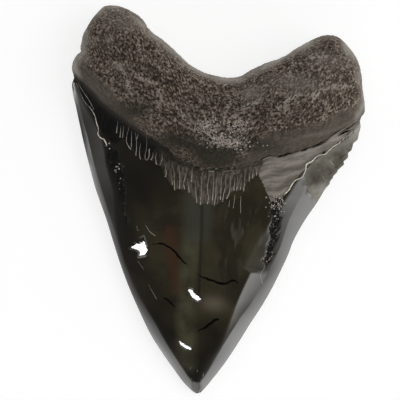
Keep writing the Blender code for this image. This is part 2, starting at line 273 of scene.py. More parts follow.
# Each streak's half width and fade.
RUST_WIDTH, OLIVE_WIDTH, GREY_WIDTH, GROOVE_WIDTH = (0.6, 3.0), (0.8, 3.6), (1.5, 5.0), (0.1, 0.8)
BROWN_PATCH, BROWN_PATCH_SIZE = (5.6, -31.0), (4.2, 2.6)
STREAKED_PATCH, STREAKED_PATCH_SIZE = (11.0, -6.0), (8.0, 12.0)
# The crown is blacker by this much past these shares of its half width.
BLACK_SIDES, BLACK_SIDES_START = 0.8, (0.45, 0.8)
BLACK_PATCHES = [
    ((-21.0, 7.0), (10.0, 13.0)), ((6.0, -47.0), (5.5, 13.0)), ((-9.0, -43.0), (5.0, 9.0)),
    ((2.0, -55.0), (6.0, 4.0)),
]
# Where painted shade darkens the hollows at the root's foot, and where the root is paler: (centre, size).
ROOT_HOLLOW_SHADE = [
    ((1.5, 14.5), (9.0, 4.0)), ((-26.0, 27.0), (6.0, 3.0)), ((-12.0, 19.0), (8.0, 3.0)), ((14.0, 20.0),
                                                                                          (7.0, 2.5)),
    ((1.5, 17.5), (6.0, 3.5)),
]
PALE_ROOT = [
    ((-42.6, 41.6), (2.2, 1.6)), ((-35.9, 48.7), (1.8, 1.4)), ((-31.2, 40.3), (2.0, 1.4)), ((-31.0, 54.5),
                                                                                            (5.0, 2.5)),
    ((24.0, 41.0), (9.0, 3.0)), ((33.0, 49.5), (6.0, 3.0)), ((10.5, 36.5), (4.0, 2.5)),
]
# The rough, scalloped part of the right flange.
WORN_FLANGE = [
    (29.7, 12.9), (30.2, 14.6), (33.7, 19.2), (37.6, 22.0), (44.3, 28.3), (47.5, 33.0), (48.5, 28.0),
    (42.0, 9.0), (36.0, 3.5), (34.6, 4.6), (32.4, 6.6), (30.6, 9.6),
]
# Paler fibres that stand a little proud of the root.
ROOT_VEINS = [
    [(-34.5, 42.1), (-31.5, 40.4), (-29.7, 37.8), (-28.2, 34.8), (-26.9, 32.2)],
    [(-18.9, 34.5), (-17.8, 31.1), (-17.9, 28.7)], [(-13.6, 30.5), (-11.3, 28.4), (-9.7, 26.1)],
    [(-26.5, 38.1), (-23.6, 37.0), (-19.7, 36.1)], [(12.9, 34.1), (10.0, 32.6), (8.3, 31.5)],
    [(19.4, 32.4), (22.4, 35.7), (24.7, 37.2), (28.9, 37.6), (32.0, 39.5), (34.9, 41.0), (38.2, 41.7),
     (41.8, 42.0)],
    [(29.6, 36.2), (31.2, 38.5)], [(27.1, 49.3), (29.4, 50.1), (31.9, 49.8)],
    [(22.5, 46.7), (23.3, 47.4), (24.8, 47.2)], [(21.8, 44.2), (22.4, 41.8)], [(3.6, 32.5), (3.0, 30.1),
                                                                               (2.9, 28.2)],
    [(44.6, 32.3), (39.6, 28.9), (34.7, 26.4), (28.8, 24.6)],
]
VEIN_WIDTH, VEIN_FADE, VEIN_HEIGHT = 0.15, 0.8, 0.15
# Where the rough flange is paler and where it is stained brown: (centre, size).
PALE_FLANGE = [((45.0, 29.5), (3.0, 3.5)), ((36.5, 7.5), (3.0, 3.5))]
STAINED_FLANGE = [((33.5, 12.0), (3.5, 2.5)), ((39.6, 20.0), (2.4, 1.6)), ((38.2, 15.0), (1.6, 1.4))]
# How far the painted shade in the cleft under the root reaches and how far it fades, on the left and on the
# right, between which x it narrows, and between which cloud values its narrow part is broken.
LEFT_CLEFT, RIGHT_CLEFT, CLEFT_NARROWS, CLEFT_BREAKS = (0.4, 1.7), (0.05, 0.4), (-14.0, 10.0), (0.35, 0.6)
# Thin pale scratches in the polish: a line and its width.
SCRATCHES = [
    ([(20.5, -18.0), (19.6, -20.3), (20.5, -23.2)], 0.22),
    ([(-18.4, -8.4), (-17.2, -10.1), (-15.1, -11.5)], 0.3),
    ([(-21.2, -9.0), (-21.1, -9.8), (-20.7, -10.5)], 0.2), ([(37.7, 18.3), (38.3, 17.5), (39.1, 16.8)], 0.25),
    ([(36.0, 12.9), (36.6, 12.1), (37.3, 11.6)], 0.25), ([(0.6, -52.0), (0.5, -52.3), (0.4, -52.6)], 0.2),
    ([(2.8, -52.6), (2.8, -53.0), (2.7, -53.3)], 0.2), ([(4.8, -53.3), (4.8, -54.0), (4.6, -54.5)], 0.2),
    ([(1.1, -55.5), (1.1, -55.7), (1.2, -55.8)], 0.25),
    ([(-19.8, -20.1), (-18.8, -21.2), (-17.6, -22.6)], 0.16),
    ([(-15.5, -27.3), (-14.3, -29.1), (-12.6, -31.5)], 0.16), ([(8.7, 4.1), (8.7, 2.0), (8.6, -0.1)], 0.2),
    ([(10.6, 3.9), (10.8, 1.2), (11.1, -1.4)], 0.2), ([(7.2, 2.3), (7.2, 1.2), (7.2, 0.1)], 0.2),
]
# Thin pale fibres where the root meets the right flange: a line and its width.
PALE_FIBRES = [
    ([(45.3, 32.0), (43.5, 30.6), (41.4, 28.8), (39.9, 27.8), (38.1, 26.0)], 0.3),
    ([(45.2, 30.9), (43.9, 29.4), (42.1, 27.9), (41.3, 26.9), (39.5, 25.5), (37.3, 24.3)], 0.25),
    ([(35.2, 22.8), (33.4, 21.8), (31.6, 20.8), (29.7, 19.8), (27.3, 18.4)], 0.3),
    ([(-45.3, 34.4), (-44.3, 32.6), (-42.9, 30.1), (-41.2, 27.8), (-40.2, 27.0)], 0.28),
    ([(-44.6, 34.3), (-42.4, 31.4), (-40.3, 28.9), (-38.7, 26.4)], 0.24),
]
# The rim's half width and fade, and the heights of the root's walls over which it appears. Its pale grey is
# partly real wear and partly painted light, a sheen along the root's high edges.
RIM_WIDTH, RIM_HEIGHT = (0.2, 3.2), (4.0, 13.0)
# How far below and above the skin's border it fades.
SKIN_FADE = (1.0, 1.5)
# How much less porous the smooth skin, the rim and the labial face are.
SKIN_SEALS, RIM_SEALS, LABIAL_POROSITY = 0.85, 0.3, 0.6
SPECKLED_CORNER, SPECKLED_CORNER_SIZE = (21.9, 2.6), (2.0, 2.2)

# --------------------------------------------------------------------------------------------------
# The mesh's fineness.
# --------------------------------------------------------------------------------------------------
CURVE_STEPS = 24
NOTCH_FADE = 6.0            # how fast the notches of the right edge fade out of the rows inside it
# Up the crown's edges: where each span of rows ends, and how many rows it has.
CROWN_ROW_SPANS = [
    (0.19, 17), (0.248, 20), (0.42, 20), (0.467, 17), (0.49, 3), (0.572, 26), (0.62, 5), (1.0, 72),
]
ROOT_ROWS = 104
COLUMNS = 300
EDGE_CROWDING = 0.45
LABIAL_ROWS, LABIAL_COLUMNS = 84, 84
LABIAL_ROW_ENDS = (0.03, 0.985)
LABIAL_COLUMN_END = 0.975
SHARP_BELOW = 31.0          # the crown's edge is sharp up to this y
FIBRE_ACROSS, FIBRE_ALONG = 47.0, 80.0      # half the root's width and its length along the fibres
WORN_MASKS = ("bourrelet", "pits", "worn_flange", "cleft_shade")
WORN_FROM = 0.4             # a face is worn where all of its vertices are worn by more than this


def smooth_curve(points):
    """A smooth curve through the points, with CURVE_STEPS straight steps between each two of them."""
    points = np.array(points, dtype=float)
    steps = np.diff(points, axis=0)
    gaps = np.linalg.norm(steps, axis=1)[:, None]
    slopes = steps / gaps
    inner = (slopes[:-1] * gaps[1:] + slopes[1:] * gaps[:-1]) / (gaps[:-1] + gaps[1:])
    slopes = np.vstack([slopes[:1], inner, slopes[-1:]])
    curve = []
    for i in range(len(points) - 1):
        for step in range(CURVE_STEPS):
            k = step / CURVE_STEPS
            start = (1 + 2 * k) * (1 - k) ** 2 * points[i]
            leave = k * (1 - k) ** 2 * gaps[i] * slopes[i]
            end = k * k * (3 - 2 * k) * points[i + 1]
            arrive = k * k * (k - 1) * gaps[i] * slopes[i + 1]
            curve.append(start + leave + end + arrive)
    return np.vstack([curve, points[-1:]])


def spread(curve, shares):
    """Points on the curve at these shares of its length."""
    lengths = np.linalg.norm(np.diff(curve, axis=0), axis=1)
    so_far = np.concatenate([[0.0], np.cumsum(lengths)]) / lengths.sum()
    return np.column_stack([np.interp(shares, so_far, curve[:, i]) for i in range(curve.shape[1])])


def crowded(even):
    """Shares from -1 to 1, moved towards both ends."""
    return (1 - EDGE_CROWDING) * even + EDGE_CROWDING * np.sin(even * np.pi / 2)


def ease(low, high, value):
    """0 up to low, 1 from high on, and a smooth ramp between them."""
    share = np.clip((value - low) / (high - low), 0.0, 1.0)
    return share * share * (3 - 2 * share)


def stations_at(stations, where):
    """The values after the first one in each station, read at these places between the stations."""
    table = np.array(sorted(stations))
    return [np.interp(where, table[:, 0], table[:, i]) for i in range(1, table.shape[1])]


def height_at(stations, up):
    """The height at this place on a smooth curve through stations of (place, height)."""
    curve = smooth_curve(stations)
    return np.interp(up, curve[:, 0], curve[:, 1])


def patch(left, right, bottom, top, up, over):
    """Points that fill the four-sided area between these edges, at one share up it and at the shares over."""
    across = np.outer(1 - over, left) + np.outer(over, right)
    along = (1 - up) * bottom + up * top
    lower = np.outer(1 - over, bottom[0]) + np.outer(over, bottom[-1])
    upper = np.outer(1 - over, top[0]) + np.outer(over, top[-1])
    return across + along - (1 - up) * lower - up * upper


def outline_rows(over, crown_ups, root_ups, root_line):
    """Each row's share of the way up the tooth, and its points seen from above."""
    root_edge = smooth_curve(ROOT_EDGE)
    left_lobe, right_lobe = LEFT_LOBE_POINT * CURVE_STEPS, RIGHT_LOBE_POINT * CURVE_STEPS
    chevron = spread(smooth_curve(root_line), over)
    forked_top = spread(root_edge[left_lobe : right_lobe + 1], over)
    point = np.tile(TIP, (len(over), 1))
    left = spread(smooth_curve(CROWN_LEFT_EDGE), crown_ups)
    guide, right = (spread(smooth_curve(edge), crown_ups) for edge in (RIGHT_GUIDE, CROWN_RIGHT_EDGE))
    notches = over[:, None] ** NOTCH_FADE
    plans = [
        patch(left[i], guide[i], point, chevron, up, over) + notches * (right[i] - guide[i])
        for i, up in enumerate(crown_ups)
    ]
    left = spread(root_edge[: left_lobe + 1], root_ups)
    right = spread(root_edge[right_lobe:][::-1], root_ups)
    plans += [patch(left[i], right[i], chevron, forked_top, up, over) for i, up in enumerate(root_ups)]
    ups = np.concatenate([ROOT_START * crown_ups, ROOT_START + (1 - ROOT_START) * root_ups])
    return ups, np.array(plans)


# --------------------------------------------------------------------------------------------------
# Masks: 1 where a feature is and 0 where it isn't, for points in millimetres.
# --------------------------------------------------------------------------------------------------
def distance_to(points, line):
    """How far each point is from the line."""
    line = np.array(line, dtype=float)
    nearest = np.full(points.shape[:-1], np.inf)
    for start, end in zip(line, line[1:]):
        step = end - start
        share = np.clip(((points - start) @ step) / (step @ step), 0, 1)
        gap = np.linalg.norm(points - start - share[..., None] * step, axis=-1)
        nearest = np.minimum(nearest, gap)
    return nearest


def inward_from(points, line):
    """How far each point is to the right of the line, or less than 0 to its left."""
    line = np.array(line, dtype=float)
    nearest = np.full(points.shape[:-1], np.inf)
    signed = np.zeros(points.shape[:-1])
    for start, end in zip(line, line[1:]):
        step = end - start
        share = np.clip(((points - start) @ step) / (step @ step), 0, 1)
        offset = points - start - share[..., None] * step
        gap = np.linalg.norm(offset, axis=-1)
        side = np.sign(offset[..., 0] * step[1] - offset[..., 1] * step[0])
        signed = np.where(gap < nearest, gap * side, signed)
        nearest = np.minimum(nearest, gap)
    return signed


def clouds(points, spacing, seed):
    """A smooth random value from 0 to 1 at each point seen from above, changing over this spacing."""
    grid = np.random.default_rng(seed).random((CLOUD_CELLS, CLOUD_CELLS))
    place = points[..., :2] / spacing
    cell = np.floor(place).astype(int)
    share = place - cell
    x, y = np.moveaxis(share * share * (3 - 2 * share), -1, 0)
    column, row = np.moveaxis(cell % (CLOUD_CELLS - 1), -1, 0)
    lower = grid[column, row] * (1 - x) + grid[column + 1, row] * x
    upper = grid[column, row + 1] * (1 - x) + grid[column + 1, row + 1] * x
    return lower * (1 - y) + upper * y


def in_strip(points, strip):
    """1 inside a strip of points (x, y, half width) with ragged edges, and 0 outside."""
    outside = np.full(points.shape[:-1], np.inf)
    for (x0, y0, start), (x1, y1, end) in zip(strip, strip[1:]):
        step = np.array([x1 - x0, y1 - y0])
        offset = points - np.array([x0, y0])
        share = np.clip((offset @ step) / (step @ step), 0, 1)
        gap = np.linalg.norm(offset - share[..., None] * step, axis=-1)
        outside = np.minimum(outside, gap - start - share * (end - start))
    ragged = STRIP_RAGGEDNESS * (clouds(points, *WIDE_RAGS) + 0.5 * clouds(points, *FINE_RAGS) - 0.75)
    return 1 - ease(-STRIP_FADE, STRIP_FADE, outside + ragged)


def along_line(points, line, half_width, fade):
    """1 along the line, fading to 0 past its half width."""
    return 1 - ease(half_width, half_width + fade, distance_to(points, line))


def inside(points, ring):
    """True where a point is inside the closed ring."""
    ring = np.array(ring, dtype=float)
    within = np.zeros(points.shape[:-1], dtype=bool)
    x, y = points[..., 0], points[..., 1]
    for (x0, y0), (x1, y1) in zip(ring, np.roll(ring, -1, axis=0)):
        if y0 != y1:
            crosses = (y0 > y) != (y1 > y)
            within ^= crosses & (x < (x1 - x0) * (y - y0) / (y1 - y0) + x0)
    return within


def filled(points, ring, fade):
    """1 inside the ring, fading to 0 over a distance on both sides of its border."""
    border = distance_to(points, list(ring) + [ring[0]])
    signed = np.where(inside(points, ring), border, -border)
    return ease(-fade, fade, signed)


def spot(points, centre, size):
    """A soft oval spot."""
    return np.exp(-(((points - np.array(centre)) / np.array(size)) ** 2).sum(axis=-1))


def spots(points, patches):
    """Soft oval spots, added up."""
    return sum(spot(points, centre, size) for centre, size in patches)


def root_veins(points):
    """The pale fibres of the root, added up."""
    return sum(along_line(points, vein, VEIN_WIDTH, VEIN_FADE) for vein in ROOT_VEINS)


def bourrelet_ring():
    """The border of the whole bourrelet."""
    return BOURRELET_LOWER_EDGE + ROOT_LINE[::-1]


def pale_band_ring():
    """The border of the bourrelet's pale right end."""
    above = [point for point in ROOT_LINE[::-1] if point[0] > PALE_BAND_START_X]
    return BOURRELET_LOWER_EDGE[PALE_BAND_START:] + above


# --------------------------------------------------------------------------------------------------
# The body.
# --------------------------------------------------------------------------------------------------
def soft_minimum(first, second, softness):
    """The lower of two heights, with the crease between them a little rounded."""
    mix = np.clip(0.5 + 0.5 * (second - first) / softness, 0, 1)
    return first * mix + second * (1 - mix) - softness * mix * (1 - mix)


def rise(distance, width, start, end):
    """Height gained over a distance, where the slope eases from start to end over the width."""
    start, end = np.tan(np.radians(start)), np.tan(np.radians(end))
    eased = np.minimum(distance, width)
    bend = np.where(eased > 0, (end - start) * eased**2 / (2 * width), 0)
    return start * eased + bend + end * (distance - eased)


def cut_side(inward, stations):
    """Heights of the two cuts along one side of the crown. Past CUT_REACH they climb clear of the lens."""
    bevel, edge_slope, bevel_slope, flange, outer_slope, flange_slope = stations
    past = np.maximum(inward - bevel, 0)
    bevel_rise = rise(np.minimum(inward, bevel), bevel, edge_slope, bevel_slope)
    return bevel_rise + rise(past, flange, outer_slope, flange_slope) + np.maximum(inward - CUT_REACH, 0)


def crown_place(plans):
    """How far up the crown each plan point is, 0 to 1, and how far over from its middle, -1 to 1."""
    y = plans[..., 1]
    left, right = smooth_curve(LEFT_GUIDE), smooth_curve(RIGHT_GUIDE)
    left_x, right_x = np.interp(y, left[:, 1], left[:, 0]), np.interp(y, right[:, 1], right[:, 0])
    over = np.clip((2 * plans[..., 0] - left_x - right_x) / np.maximum(right_x - left_x, 0.5), -1, 1)
    length = CROWN_SIDE_LENGTH - CHEVRON_DIP * (1 - np.abs(over) ** CHEVRON_BEND)
    return np.clip((y - TIP[1]) / length, 0, 1.1), over


def lingual_heights(ups, across, plans):
    """The bulging face: a lens with cuts along both sides of the crown, and a round-sided root."""
    up, over = ups[:, None], across[None, :]
    change = ease(*SECTION_CHANGE, up)
    fullness = CROWN_FULLNESS + (ROOT_FULLNESS - CROWN_FULLNESS) * change
    rounding = CROWN_ROUNDING + (ROOT_ROUNDING - CROWN_ROUNDING) * change
    bulge = height_at(BULGE_HEIGHT, up)
    whole = bulge * (1 - np.abs(over) ** fullness) ** rounding
    even = np.linspace(0, 1, GUIDE_POINTS)
    left_inward = inward_from(plans, spread(smooth_curve(LEFT_GUIDE), even))
    right_inward = -inward_from(plans, spread(smooth_curve(RIGHT_GUIDE), even))
    from_tip = np.linalg.norm(plans - np.array(TIP), axis=-1)
    blend = np.clip(TIP_ROUNDING_GROWTH * from_tip, TIP_ROUNDING_START, TIP_ROUNDING)
    drop = np.minimum(left_inward, right_inward) - soft_minimum(left_inward, right_inward, blend)
    left_inward, right_inward = left_inward - drop, right_inward - drop
    y = plans[..., 1]
    left = cut_side(left_inward, stations_at(LEFT_CUTS, y))
    right = cut_side(right_inward, stations_at(RIGHT_CUTS, y))
    crown_up, crown_over = crown_place(plans)
    middle = height_at(BULGE_HEIGHT, ROOT_START * crown_up)
    lift = np.where(crown_over < 0, height_at(LEFT_LIFT, y), height_at(RIGHT_LIFT, y))
    lens = lift + (middle - lift) * (1 - np.abs(crown_over) ** CROWN_FULLNESS)
    cut = soft_minimum(soft_minimum(left, right, TIP_SOFTNESS), lens, CREASE_SOFTNESS)
    uncut = ease(ROOT_START, ROOT_START + CUTS_END, up)
    edge = height_at(EDGE_HEIGHT, ROOT_START * crown_up)
    return edge + cut + (height_at(EDGE_HEIGHT, up) + whole - edge - cut) * uncut


def still_flat(past, rounding):
    """1 where the labial face is flat, and 0 at the edge. Past runs from 0 at the flat's border to 1."""
    return (1 - np.clip(past, 0, 1) ** 2) ** rounding


def labial_heights(ups, across):
    """The resting face: flat in the middle, turning up at the sides, the tip and the lobes."""
    up, over = ups[:, None], across[None, :]
    change = ease(*LABIAL_SECTION_CHANGE, up)
    flat_share = CROWN_FLAT_SHARE + (ROOT_FLAT_SHARE - CROWN_FLAT_SHARE) * change
    rounding = CROWN_ROUNDING + (ROOT_ROUNDING - CROWN_ROUNDING) * change
    tip_end, root_end = FLAT_ROWS
    flat = still_flat((np.abs(over) - flat_share) / (1 - flat_share), rounding)
    flat = flat * still_flat(1 - up / tip_end, CROWN_ROUNDING)
    flat = flat * still_flat((up - root_end) / (1 - root_end), ROOT_ROUNDING)
    return height_at(EDGE_HEIGHT, up) * (1 - flat)


def relief(ups, plans):
    """What stands proud of the smooth lingual face, or is cut into it."""
    root = ups[:, None] > ROOT_START
    line_gap = distance_to(plans, ROOT_LINE)
    band = filled(plans, bourrelet_ring(), BAND_FADE)
    below = np.where(root, 0, -BAND_DEPTH * band)
    foot = BAND_DEPTH * (1 - ease(0, ROOT_FOOT_WIDTH, line_gap))
    above = np.where(root, ROOT_STEP * ease(0.0, ROOT_STEP_WIDTH, line_gap) - foot, 0)
    pits = in_strip(plans, LEFT_PITS) + in_strip(plans, RIGHT_PITS)
    on_flange = filled(plans, WORN_FLANGE, SCALLOP_FADE)
    scallops = SCALLOP_DEPTH * on_flange * (clouds(plans, *SCALLOP_CLOUDS) - 0.5)
    veins = VEIN_HEIGHT * np.clip(root_veins(plans), 0, 1)
    return below + above + np.where(root, veins, scallops - PIT_DEPTH * pits)


def with_facets(heights, plans):
    """The heights with each small facet made flat."""
    for ring, slope in FACETS:
        centre = np.mean(ring, axis=0)
        gap = np.linalg.norm(plans - centre, axis=-1)
        level = heights[np.unravel_index(gap.argmin(), gap.shape)]
        share = filled(plans, ring, FACET_FADE)
        heights = heights * (1 - share) + (level + (plans - centre) @ np.array(slope)) * share
    return heights


def zip_loops(outer, outer_places, inner, inner_places):
    """Triangles between two loops of vertices, whose places grow from 0 to 1 round the tooth."""
    outer, inner = list(outer) + [outer[0]], list(inner) + [inner[0]]
    outer_places, inner_places = list(outer_places) + [1.0], list(inner_places) + [1.0]
    i = j = 0
    triangles = []
    while i < len(outer) - 1 or j < len(inner) - 1:
        outer_next = outer_places[i + 1] if i < len(outer) - 1 else math.inf
        inner_next = inner_places[j + 1] if j < len(inner) - 1 else math.inf
        if outer_next <= inner_next:
            triangles.append((outer[i], outer[i + 1], inner[j]))
            i += 1
        else:
            triangles.append((outer[i], inner[j + 1], inner[j]))
            j += 1
    return triangles


def grid_faces(grid):
    """Quads between neighbours in a grid of vertex numbers."""
    return np.stack([grid[:-1, :-1], grid[:-1, 1:], grid[1:, 1:], grid[1:, :-1]], axis=-1).reshape(-1, 4)


def ring_places(ups, overs):
    """Places round the tooth of a grid's border: left side up, top across, right side down."""
    left = ups / 3
    top = (1 + overs) / 3
    right = (3 - ups[::-1]) / 3
    return left, top, right


def lingual_grid():
    """The bulging face: its rows' shares up the tooth, its columns' shares across, and its points."""
    across = crowded(np.linspace(-1, 1, COLUMNS + 1))
    starts = [0.0] + [end for end, _ in CROWN_ROW_SPANS]
    spans = zip(starts, CROWN_ROW_SPANS)
    stretches = [np.linspace(start, end, rows, endpoint=False) for start, (end, rows) in spans]
    crown_ups = np.concatenate(stretches)
    root_ups = crowded(np.linspace(0, 1, ROOT_ROWS + 1))
    ups, plans = outline_rows((across + 1) / 2, crown_ups, root_ups, ROOT_LINE)
    detail = relief(ups, plans)
    detail[-1] = 0
    heights = with_facets(lingual_heights(ups, across, plans) + detail, plans)
    return ups, across, np.dstack([plans, heights])


def labial_grid():
    """The resting face, which stops just short of the outline: the same three as for the bulging face."""
    ups = np.linspace(*LABIAL_ROW_ENDS, LABIAL_ROWS)
    across = crowded(np.linspace(-1, 1, LABIAL_COLUMNS)) * LABIAL_COLUMN_END
    crown_ups = ups[ups < ROOT_START] / ROOT_START
    root_ups = (ups[ups >= ROOT_START] - ROOT_START) / (1 - ROOT_START)
    ups, plans = outline_rows((across + 1) / 2, crown_ups, root_ups, LABIAL_ROOT_LINE)
    return ups, across, np.dstack([plans, labial_heights(ups, across)])


def outline_loop(grid, ups, across):
    """The vertices round the outline, from the tip up the left side, and their places round the tooth."""
    left, top, right = ring_places(ups, (across + 1) / 2)
    loop = np.concatenate([[0], grid[:, 0], grid[-1, 1:-1], grid[::-1, -1]])
    return loop, np.concatenate([[0], left, top[1:-1], right])


def labial_loop(grid, ups, across):
    """The vertices round the resting face, from the middle of its lowest row, and their places."""
    left, top, right = ring_places(ups, (across + 1) / 2)
    middle = len(across) // 2
    start, end = grid[0, 1 : middle + 1][::-1], grid[0, middle + 1 : -1][::-1]
    start_places = left[0] * np.linspace(0, 1, len(start), endpoint=False)
    end_places = right[-1] + (1 - right[-1]) * np.linspace(0, 1, len(end) + 2)[1:-1]
    loop = np.concatenate([start, grid[:, 0], grid[-1, 1:-1], grid[::-1, -1], end])
    return loop, np.concatenate([start_places, left, top[1:-1], right, end_places])


def outward_mesh(name, points, faces):
    """A smooth mesh of these points, in millimetres, whose faces all look outward."""
    mesh = bpy.data.meshes.new(name)
    mesh.from_pydata((points * MM).tolist(), [], faces)
    bm = bmesh.new()
    bm.from_mesh(mesh)
    bmesh.ops.recalc_face_normals(bm, faces=bm.faces)
    bm.to_mesh(mesh)
    bm.free()
    mesh.shade_smooth()
    return mesh


def mark(mesh, name, domain, values, kind="BOOLEAN", field="value"):
    """Writes one value for each of the mesh's vertices, edges or faces."""
    mesh.attributes.new(name, kind, domain).data.foreach_set(field, values)


def sharpen_outline(mesh, points, outline):
    """Makes the crown's edge sharp."""
    on_edge = np.zeros(len(points), dtype=bool)
    on_edge[[point for point in outline if points[point, 1] < SHARP_BELOW]] = True
    ends = np.empty(2 * len(mesh.edges), dtype=np.int32)
    mesh.edges.foreach_get("vertices", ends)
    mark(mesh, "sharp_edge", "EDGE", on_edge[ends.reshape(-1, 2)].all(axis=1))


def tooth_body():
    """The closed mesh of the tooth, with what its vertices and faces are made of."""
    ups, across, upper = lingual_grid()
    low_ups, low_across, lower = labial_grid()
    rows = len(ups) - 1
    upper_grid = 1 + np.arange(rows * len(across)).reshape(rows, len(across))
    first_lower = 1 + upper_grid.size
    lower_grid = np.arange(len(low_ups) * len(low_across)).reshape(len(low_ups), len(low_across))
    lower_grid += first_lower
    tip = np.array([[*TIP, height_at(EDGE_HEIGHT, 0)]])
    points = np.vstack([tip, upper[1:].reshape(-1, 3), lower.reshape(-1, 3)])

    outline, outline_places = outline_loop(upper_grid, ups[1:], across)
    border = zip_loops(outline, outline_places, *labial_loop(lower_grid, low_ups, low_across))
    tip_fan = [(0, upper_grid[0, i], upper_grid[0, i + 1])[::-1] for i in range(COLUMNS)]
    faces = tip_fan + grid_faces(upper_grid).tolist() + grid_faces(lower_grid)[:, ::-1].tolist() + border
    mesh = outward_mesh(CAD_TOOTH, points, faces)
    sharpen_outline(mesh, points, outline)

    point_ups = np.concatenate([[0], np.repeat(ups[1:], len(across)), np.repeat(low_ups, len(low_across))])
    point_across = np.concatenate([[0], np.tile(across, rows), np.tile(low_across, len(low_ups))])
    masks = feature_masks(points, point_ups, point_across, np.arange(len(points)) < first_lower)
    for name, values in masks.items():
        mark(mesh, name, "POINT", values.astype(np.float32), "FLOAT")
    fibre = [point_across * FIBRE_ACROSS, (point_ups - ROOT_START) * FIBRE_ALONG, points[:, 2]]
    fibre = (np.column_stack(fibre) * MM).astype(np.float32).ravel()
    mark(mesh, "fibre", "POINT", fibre, "FLOAT_VECTOR", "vector")
    face_ups = [point_ups[face[0]] + point_ups[face[-2]] for face in faces]
    mark(mesh, "is_root", "FACE", [bool(total > 2 * ROOT_START) for total in face_ups])
    worn = np.max([masks[name] for name in WORN_MASKS], axis=0).tolist()
    mark(mesh, "is_worn", "FACE", [bool(min(worn[point] for point in face) > WORN_FROM) for face in faces])
    return mesh


def root_masks(plan, ups, heights):
    """How far each vertex is in the root and in its skin, rim (worn and painted light), veins, hollows of
    painted shade, and pale and crusted places.
    """
    root = (ups >= ROOT_START).astype(float)
    line = np.array(ROOT_LINE)
    above_line = plan[:, 1] - np.interp(plan[:, 0], line[:, 0], line[:, 1])
    skin_height = stations_at(SMOOTH_SKIN, plan[:, 0])[0]
    below, above = SKIN_FADE
    skin = 1 - ease(skin_height - below, skin_height + above, above_line)
    # The rim's paler tone is partly real wear and partly painted light along the root's high edges.
    rim = along_line(plan, ROOT_EDGE, *RIM_WIDTH) * root * ease(*RIM_HEIGHT, heights)
    return root, rim, {
        "skin": skin * root * (skin_height > 0),
        "dark_root": np.clip(spots(plan, ROOT_HOLLOW_SHADE) * root, 0, 1),
        "pale_root": np.clip(spots(plan, PALE_ROOT) * root, 0, 1),
        "crust": np.clip(spots(plan, CRYSTAL_CRUSTS) * root, 0, 1),
        "vein": np.clip(root_veins(plan) * root, 0, 1),
    }


def cleft_shade_mask(plan):
    """Painted shade in the cleft under the root, wide on the left, and narrow and broken on the right."""
    narrowing = ease(*CLEFT_NARROWS, plan[:, 0])
    reach, end = (left + (right - left) * narrowing for left, right in zip(LEFT_CLEFT, RIGHT_CLEFT))
    broken = narrowing * ease(*CLEFT_BREAKS, clouds(plan, *CLEFT_CLOUDS))
    return (1 - ease(reach, end, distance_to(plan, ROOT_LINE))) * (1 - broken)


def feature_masks(points, ups, across, lingual):
    """What each vertex is made of and how worn it is, for the relief and the finishes."""
    plan = points[:, :2]
    root, rim, on_root = root_masks(plan, ups, points[:, 2])
    crown = 1 - root
    pale = filled(plan, pale_band_ring(), 0.5) * crown
    pits = np.clip(in_strip(plan, LEFT_PITS) + in_strip(plan, RIGHT_PITS), 0, 1) * crown
    black = spots(plan, BLACK_PATCHES) + BLACK_SIDES * ease(*BLACK_SIDES_START, np.abs(across))
    crust = spots(plan, CRYSTAL_CRUSTS) * root
    grains = crust + GRAINS_IN_PITS * pits + spot(plan, SPECKLED_CORNER, SPECKLED_CORNER_SIZE) * crown
    lingual_only = on_root | {
        "bourrelet": filled(plan, bourrelet_ring(), 0.3) * crown, "pale_band": pale, "pits": pits,
        "rust": along_line(plan, RUST_STREAK, *RUST_WIDTH),
        "olive": along_line(plan, OLIVE_STREAK, *OLIVE_WIDTH),
        "grey": along_line(plan, GREY_STREAK, *GREY_WIDTH),
        "groove": along_line(plan, GROOVE, *GROOVE_WIDTH),
        "brown_patch": spot(plan, BROWN_PATCH, BROWN_PATCH_SIZE),
        "streaked": spot(plan, STREAKED_PATCH, STREAKED_PATCH_SIZE),
        "black": np.clip(black, 0, 1), "grains": np.clip(grains, 0, 1),
        "paler_worn": ease(*BOURRELET_PALES, plan[:, 0]),
        "cleft_shade": cleft_shade_mask(plan),
        "worn_flange": filled(plan, WORN_FLANGE, 0.9) * crown * (1 - pale),
        "pale_flange": np.clip(spots(plan, PALE_FLANGE), 0, 1),
        "stained_flange": np.clip(spots(plan, STAINED_FLANGE), 0, 1),
    }
    masks = {name: values * lingual for name, values in lingual_only.items()}
    masks["root"] = root
    masks["rim"] = rim
    sealed = (1 - SKIN_SEALS * masks["skin"]) * (1 - RIM_SEALS * rim)
    masks["porosity"] = root * sealed * np.where(lingual, 1.0, LABIAL_POROSITY)
    return masks


# --------------------------------------------------------------------------------------------------
# Node trees.
# --------------------------------------------------------------------------------------------------
def feed(tree, socket, value):
    """Joins another node's socket to this one, or sets it to a plain value."""
    if isinstance(value, bpy.types.NodeSocket):
        tree.links.new(value, socket)
    else:
        socket.default_value = value


def add(tree, kind, inputs=None, **settings):
    """A new node with these settings, and its inputs set or joined."""
    node = tree.nodes.new(kind)
    for name, value in settings.items():
        setattr(node, name, value)
    for name, value in (inputs or {}).items():
        feed(tree, node.inputs[name], value)
    return node


def calc(tree, operation, *values):
    """A Math node's result."""
    return add(tree, "ShaderNodeMath", dict(enumerate(values)), operation=operation).outputs[0]


def vector_calc(tree, operation, first, second):
    """A Vector Math node's result."""
    node = add(tree, "ShaderNodeVectorMath", {0: first}, operation=operation)
    feed(tree, node.inputs["Scale" if operation == "SCALE" else 1], second)
    return node.outputs[0]


def ramp(tree, value, low, high, start=0.0, end=1.0):
    """Eases from start to end while the value goes from low to high."""
    sockets = {"Value": value, "From Min": low, "From Max": high, "To Min": start, "To Max": end}
    return add(tree, "ShaderNodeMapRange", sockets, interpolation_type="SMOOTHSTEP").outputs["Result"]


def noise(tree, vector, scale, detail=2.0, roughness=0.5):
    """Noise from 0 to 1, with this many swings in a metre."""
    sockets = {"Vector": vector, "Scale": scale, "Detail": detail, "Roughness": roughness}
    return add(tree, "ShaderNodeTexNoise", sockets).outputs["Fac"]


